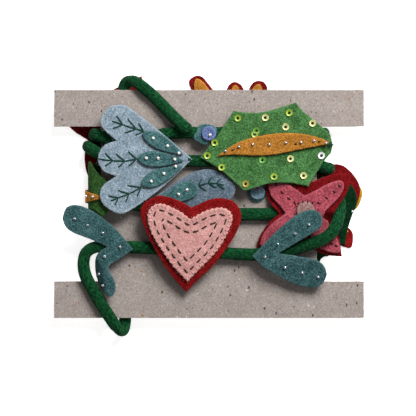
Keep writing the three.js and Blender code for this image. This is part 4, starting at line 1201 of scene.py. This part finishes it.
def sequin_material(name, hex_colour, hex_shift):
    material, tree = new_material(f"{name} sequin film, pressed")
    coords = add_node(tree, "ShaderNodeTexCoord").outputs["Object"]
    shift = add_node(tree, "ShaderNodeTexNoise", inputs={
        "Vector": coords, "Scale": per_mm(1.8), "Detail": 2.0}).outputs["Fac"]
    film = add_node(tree, "ShaderNodeValToRGB", {"ramp": [
        (0.4, linear(hex_colour)), (0.62, linear(hex_shift))]}, {"Fac": shift})
    surface = add_node(tree, "ShaderNodeBsdfPrincipled", inputs={
        "Base Color": film.outputs["Color"], "Metallic": 0.1, "Roughness": 0.5,
        "Coat Weight": 0.25, "Coat Roughness": 0.2})
    finish_material(tree, surface)
    return material


# Stranded cotton, mercerised: a soft silky shine with slightly darker grooves between strands.


def thread_material(name, hex_colour):
    material, tree = new_material(f"{name} stranded cotton, mercerised")
    coords = add_node(tree, "ShaderNodeTexCoord").outputs["Object"]
    strands = add_node(tree, "ShaderNodeTexNoise", inputs={
        "Vector": coords, "Scale": per_mm(0.5), "Detail": 2.0}).outputs["Fac"]
    colour = linear(hex_colour)
    shade = add_node(tree, "ShaderNodeValToRGB", {"ramp": [
        (0.35, [c * 0.6 for c in colour]), (0.65, [c * 1.3 for c in colour])]}, {
        "Fac": strands})
    surface = add_node(tree, "ShaderNodeBsdfPrincipled", inputs={
        "Base Color": shade.outputs["Color"], "Roughness": 0.6, "Specular IOR Level": 0.15,
        "Sheen Weight": 0.02, "Sheen Roughness": 0.4})
    finish_material(tree, surface)
    return material


def template(bm):
    bmesh.ops.recalc_face_normals(bm, faces=bm.faces)
    mesh = bpy.data.meshes.new("template")
    bm.to_mesh(mesh)
    bm.free()
    return mesh


def bead_template(across):
    """A seed bead: a rounded ring of glass, a little lower than it is wide."""
    wall = across * BEAD_WALL
    bm = bmesh.new()
    ring = bmesh.ops.create_circle(bm, cap_ends=False, radius=1.0, segments=8)["verts"]
    for v in ring:
        v.co = Vector((across / 2 - wall / 2 + v.co.x * wall / 2, 0,
                       v.co.y * across * BEAD_HALF_HEIGHT))
    bmesh.ops.spin(bm, geom=bm.verts[:] + bm.edges[:], axis=(0, 0, 1), cent=(0, 0, 0),
                   dvec=(0, 0, 0), angle=2 * math.pi, steps=14, use_merge=True,
                   use_duplicate=False)
    return template(bm)


def sequin_template(across):
    """A cup sequin: a thin disc with a hole, its rim raised in flat facets."""
    reach = across / 2
    bm = bmesh.new()
    row = [bm.verts.new((reach * r, 0, z)) for r, z in SEQUIN_PROFILE]
    for a, b in zip(row, row[1:]):
        bm.edges.new((a, b))
    bmesh.ops.spin(bm, geom=bm.verts[:] + bm.edges[:], axis=(0, 0, 1), cent=(0, 0, 0),
                   dvec=(0, 0, 0), angle=2 * math.pi, steps=20, use_merge=True,
                   use_duplicate=False)
    bmesh.ops.recalc_face_normals(bm, faces=bm.faces)
    bmesh.ops.solidify(bm, geom=bm.faces[:], thickness=FILM)
    return template(bm)


def stood_on(point, normal, turn=0.0, lean=0.0):
    """Matrix that stands something on a point: its Z along the normal, turned and leaning."""
    return (Matrix.Translation(point) @ normal.to_track_quat("Z", "Y").to_matrix().to_4x4() @
            Matrix.Rotation(turn, 4, "Z") @ Matrix.Rotation(lean, 4, "X"))


def add_copy(bm, mesh, matrix):
    first = len(bm.verts)
    bm.from_mesh(mesh)
    bm.verts.ensure_lookup_table()
    bmesh.ops.transform(bm, matrix=matrix, verts=bm.verts[first:])


def add_stitch(bm, cut, start, end, radius, lift=0.0):
    """One stitch: it comes up out of the felt, lies on it and goes down again."""
    start, end = Vector(start), Vector(end)
    parts = max(6, round((end - start).length / STITCH_STEP))
    bow = (end - start).orthogonal() * 0.05 * noise.noise(Vector((*start, 2.0)))
    spots = []
    for k in range(parts + 1):
        t = k / parts
        x, y = start.lerp(end, t) + bow * math.sin(math.pi * t)
        point, normal = top_of(cut, x, y)
        height = radius * (1.1 * math.sin(math.pi * t) ** 0.4 - 0.35) + lift
        spots.append((point + normal * height, normal))
    stations = []
    for k, (point, normal) in enumerate(spots):
        way = (spots[min(k + 1, parts)][0] - spots[max(k - 1, 0)][0]).normalized()
        side = (normal - way * normal.dot(way)).normalized()
        stations.append((point, way, side, (end - start).length * k / parts))

    def ring(station, angle, _):
        ply = radius * (0.88 + 0.12 * math.cos(2 * angle - 2.4 * station[3] / radius))
        return ply, ply
    sweep(bm, stations, ring, STITCH_SIDES)


class GARLAND_OT_beads(bpy.types.Operator):
    """Sew on the seed beads"""
    bl_idname = "garland.beads"
    bl_label = "Seed beads"

    def execute(self, context):
        across = context.scene.garland_sizes.bead / MM
        shape = bead_template(across)
        kinds = [
            ("pearl_beads", PEARLS, "Pearl", ("f4efe8", "fffaf2", "e9e2dd"), 0.0, 0.12, 60,
             "teal_felt"),
            ("silver_beads", SILVER_BEADS, "Silver-lined", ("b9bcc4", "e3dde2", "9fa6ae"), 0.7,
             0.15, 75, "mustard_felt"),
            ("clear_beads", CLEAR_BEADS, "Clear rainbow", ("a9bcc4", "c9c0cf", "8fb0ae"), 0.5,
             0.12, 70, "deep_teal_felt"),
            ("amber_bead", AMBER_BEADS, "Amber", ("c88a2a", "e0b04a", "b0701c"), 0.1, 0.15, 30,
             "red_felt"),
        ]
        for name, table, title, hexes, metallic, roughness, lean, slot in kinds:
            bm = bmesh.new()
            for node, spots in table.items():
                for x, y in spots:
                    point, normal = top_of(CUTS[node], x, y)
                    turn = math.pi * noise.noise(Vector((x, y, 5.0)))
                    tilt = math.radians(lean * (0.8 + 0.4 * noise.noise(Vector((y, x, 1.0)))))
                    height = across * (BEAD_HALF_HEIGHT + 0.12 * math.sin(tilt)) - 0.1
                    add_copy(bm, shape, stood_on(point + normal * height, normal, turn, tilt))
            store_piece(name, bm, bead_material(title, hexes, metallic, roughness), slot)
        bpy.data.meshes.remove(shape)
        return {"FINISHED"}


class GARLAND_OT_sequins(bpy.types.Operator):
    """Sew on the cup sequins, each with a stitch through its hole"""
    bl_idname = "garland.sequins"
    bl_label = "Cup sequins"

    def execute(self, context):
        sizes = context.scene.garland_sizes
        shape = sequin_template(sizes.sequin / MM)
        films = {
            "lime": ("86a62a", "a9bf3e"), "leaf_green": ("3f8a30", "76a83c"),
            "straw": ("c4c478", "dedb9c"), "white": ("eeeeea", "ffffff"),
            "gold": ("93902e", "b98236"),
        }
        knots = bmesh.new()
        for kind, spots in SEQUINS.items():
            bm = bmesh.new()
            for x, y in spots:
                point, normal = top_of(CUTS["holly_leaf"], x, y)
                lean = math.radians(5) * noise.noise(Vector((x, y, 8.0)))
                add_copy(bm, shape, stood_on(point + normal * 0.12, normal, x, lean))
                turn = 3 * noise.noise(Vector((y, x, 3.0)))
                for angle in (turn, turn + 1.2):
                    reach = Vector((math.cos(angle), math.sin(angle))) * 0.85
                    spot = Vector((x, y))
                    add_stitch(knots, CUTS["holly_leaf"], spot - reach, spot + reach, 0.5, 0.15)
            title = kind.replace("_", " ").capitalize()
            store_piece(f"sequins_{kind}", bm, sequin_material(title, *films[kind]),
                        "holly_felt", smooth=False)
        store_piece("sequin_stitches", knots, thread_material("Sequin", "06261d"), "rope_felt")
        bpy.data.meshes.remove(shape)
        return {"FINISHED"}


class GARLAND_OT_stitches(bpy.types.Operator):
    """Sew the fern stitches, the running stitches and the short stitches"""
    bl_idname = "garland.stitches"
    bl_label = "Stitches"

    def execute(self, context):
        radius = context.scene.garland_sizes.thread / MM / 2
        kinds = [
            ("fern_stitches", FERNS, "Dark green", "0a3f30", 1.3, "rope_felt"),
            ("heart_stitches", HEART_STITCHES, "Olive", "2b2716", 1.35, "pine_felt"),
            ("whip_stitches", WHIP_STITCHES, "Pink", "d9a49c", 0.8, "pink_felt"),
            ("short_stitches", SHORT_STITCHES, "Near black", "1c0e10", 1.25, "wine_felt"),
            ("magenta_stitches", MAGENTA_STITCHES, "Magenta", "b5178b", 1.0, "rose_felt"),
        ]
        for name, table, title, hex_colour, share, slot in kinds:
            bm = bmesh.new()
            for node, stitches in table.items():
                for start, end in stitches:
                    add_stitch(bm, CUTS[node], start, end, radius * share)
            store_piece(name, bm, thread_material(title, hex_colour), slot)
        return {"FINISHED"}


# Single fibres work loose along every cut edge and all over the rope. They are drawn 0.1 mm
# thick, three times what they are, so that they show.


def add_fibre(strands, root, way, length, dice):
    """A loose fibre: it leaves its root along way and curls over."""
    verts, faces = strands
    curl = Vector([dice.uniform(-1, 1) for _ in range(3)]) * 0.7
    side = way.orthogonal().normalized()
    turned = way.cross(side)
    first = len(verts)
    for k in range(4):
        t = k / 3
        thick = FIBRE_RADIUS * (1.0 - 0.7 * t)
        middle = root + (way + curl * t) * length * t
        for angle in (0.0, 2.094, 4.189):
            place = middle + (side * math.cos(angle) + turned * math.sin(angle)) * thick
            place.z = max(place.z, FIBRE_FLOOR)
            verts.append(place)
    for k in range(3):
        for n in range(3):
            here, on = first + 3 * k + n, first + 3 * k + (n + 1) % 3
            faces.append((here, on, on + 3, here + 3))
    faces.append((first + 2, first + 1, first))
    faces.append((first + 9, first + 10, first + 11))


def store_fibres(name, strands, material, slot):
    mesh = bpy.data.meshes.new("strands")
    mesh.from_pydata(strands[0], [], strands[1])
    bm = bmesh.new()
    bm.from_mesh(mesh)
    bpy.data.meshes.remove(mesh)
    return store_piece(name, bm, material, slot)


def edge_fibres(strands, cut, dice):
    edge = smooth_outline(cut.rows, EDGE_FIBRE_STEP)
    outward = turn_of(edge)
    for k, (x, y) in enumerate(edge):
        before = edge[k - 1]
        run = Vector((x - before[0], y - before[1])).normalized() * outward
        out = Vector((run.y, -run.x))
        point, normal = cut.place(x, y)
        away = (cut.place(x + out.x * 0.5, y + out.y * 0.5)[0] - point).normalized()
        level = rise_of(cut, x, y) + dice.uniform(-0.5, 0.5)
        way = (away + away.cross(normal) * dice.uniform(-0.9, 0.9) +
               normal * dice.uniform(-0.3, 0.7))
        add_fibre(strands, point + normal * level - away * 0.25, way.normalized(),
                  dice.uniform(*EDGE_FIBRE_LENGTHS), dice)


def rope_fibres(strands, sizes, dice):
    stations = rope_stations(ROPE_ROUTE, ROPE_FIBRE_STEP)
    half_width, half_depth = sizes.rope_width / MM / 2, sizes.rope_depth / MM / 2
    for k, (point, way, thin, _) in enumerate(stations):
        near_end = min(k, len(stations) - 1 - k) < 12
        for _ in range(6 if near_end else 2):
            angle = dice.uniform(0, 2 * math.pi)
            out = (thin * math.cos(angle) * half_depth +
                   way.cross(thin) * math.sin(angle) * half_width)
            away = (out.normalized() + way * dice.uniform(-1.2, 1.2)).normalized()
            add_fibre(strands, point + out * 0.95, away, dice.uniform(*ROPE_FIBRE_LENGTHS), dice)


class GARLAND_OT_fibres(bpy.types.Operator):
    """Let fibres work loose along the cut edges and on the rope"""
    bl_idname = "garland.fibres"
    bl_label = "Loose fibres"

    def execute(self, context):
        dice = random.Random(11)
        colours = context.scene.garland_colours
        made = felts(colours)
        by_colour = {}
        for cut in CUTS.values():
            strands, slot = by_colour.setdefault(cut.colour, (([], []), cut.slot))
            edge_fibres(strands, cut, dice)
        for colour, (strands, slot) in by_colour.items():
            store_fibres(f"{colour}_loose_fibres", strands, made[colour], slot)
        strands = ([], [])
        rope_fibres(strands, context.scene.garland_sizes, dice)
        # Painted highlight: the loose fibres get a copy of the rope's colour made 1.4 times
        # lighter, for the light that they catch.
        wool = felt_material("Rope", [c * 1.4 for c in colours.rope], 0.02, 0.3, 0.0)
        store_fibres("rope_loose_fibres", strands, wool, "rope_felt")
        return {"FINISHED"}


class GARLAND_OT_stage(bpy.types.Operator):
    """Set the floor, the lights and the camera"""
    bl_idname = "garland.stage"
    bl_label = "Stage"

    def execute(self, context):
        scene = context.scene
        bm = bmesh.new()
        bmesh.ops.create_grid(bm, x_segments=1, y_segments=1, size=1.5)
        mesh = bpy.data.meshes.new("floor")
        bm.to_mesh(mesh)
        bm.free()
        floor = bpy.data.objects.new("floor", mesh)
        scene.collection.objects.link(floor)
        material, tree = new_material("White paper sweep")
        surface = add_node(tree, "ShaderNodeBsdfPrincipled", inputs={
            "Base Color": (*grey(0.92), 1.0), "Roughness": 0.8,
            "Emission Color": (*grey(1.0), 1.0), "Emission Strength": 0.75})
        finish_material(tree, surface)
        mesh.materials.append(material)

        world = bpy.data.worlds.new("Soft room")
        world.use_nodes = True
        world.node_tree.nodes["Background"].inputs["Color"].default_value = (1, 1, 1, 1)
        world.node_tree.nodes["Background"].inputs["Strength"].default_value = 0.18
        scene.world = world
        scene.view_settings.view_transform = "Standard"

        for name, place, size, power in [
            ("key", (0.42, 0.8, 0.9), 0.6, 24.0),
            ("fill", (0.4, -0.4, 1.1), 1.2, 1.0),
        ]:
            light = bpy.data.lights.new(name, "AREA")
            light.size = size
            light.energy = power
            lamp = bpy.data.objects.new(name, light)
            lamp.location = place
            lamp.rotation_euler = (-Vector(place)).to_track_quat("-Z", "Y").to_euler()
            scene.collection.objects.link(lamp)

        lens_data = bpy.data.cameras.new("camera")
        camera = bpy.data.objects.new("camera", lens_data)
        scene.collection.objects.link(camera)
        height, card_level, view_width = 1.7, 0.0125, 0.2725
        aim_x, aim_y = -0.655, -2.95  # the middle of the view, on the drawing
        camera.location = (aim_x * MM, aim_y * MM + SHIFT.y * MM, height)
        lens_data.lens = lens_data.sensor_width * (height - card_level) / view_width
        scene.camera = camera
        return {"FINISHED"}


OPERATORS = (
    GARLAND_OT_stage, GARLAND_OT_rope, GARLAND_OT_card, GARLAND_OT_leaves, GARLAND_OT_holly,
    GARLAND_OT_heart, GARLAND_OT_flowers, GARLAND_OT_back_shapes, GARLAND_OT_beads,
    GARLAND_OT_sequins, GARLAND_OT_stitches, GARLAND_OT_fibres,
)


class GARLAND_PT_panel(bpy.types.Panel):
    """Steps of making the garland, in order"""
    bl_idname = "GARLAND_PT_panel"
    bl_label = "Felt garland"
    bl_space_type = "VIEW_3D"
    bl_region_type = "UI"
    bl_category = "Garland"

    def draw(self, context):
        for group in (context.scene.garland_sizes, context.scene.garland_colours):
            box = self.layout.box()
            for name in group.__annotations__:
                box.prop(group, name)
        for operator in OPERATORS:
            self.layout.operator(operator.bl_idname)


CLASSES = (GarlandSizes, GarlandColours, *OPERATORS, GARLAND_PT_panel)


def register():
    for cls in CLASSES:
        bpy.utils.register_class(cls)
    bpy.types.Scene.garland_sizes = bpy.props.PointerProperty(type=GarlandSizes)
    bpy.types.Scene.garland_colours = bpy.props.PointerProperty(type=GarlandColours)


def unregister():
    del bpy.types.Scene.garland_colours
    del bpy.types.Scene.garland_sizes
    for cls in reversed(CLASSES):
        bpy.utils.unregister_class(cls)


def main():
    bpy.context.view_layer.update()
    register()
    for operator in OPERATORS:
        group, name = operator.bl_idname.split(".")
        getattr(getattr(bpy.ops, group), name)()


if __name__ == "__main__":
    main()
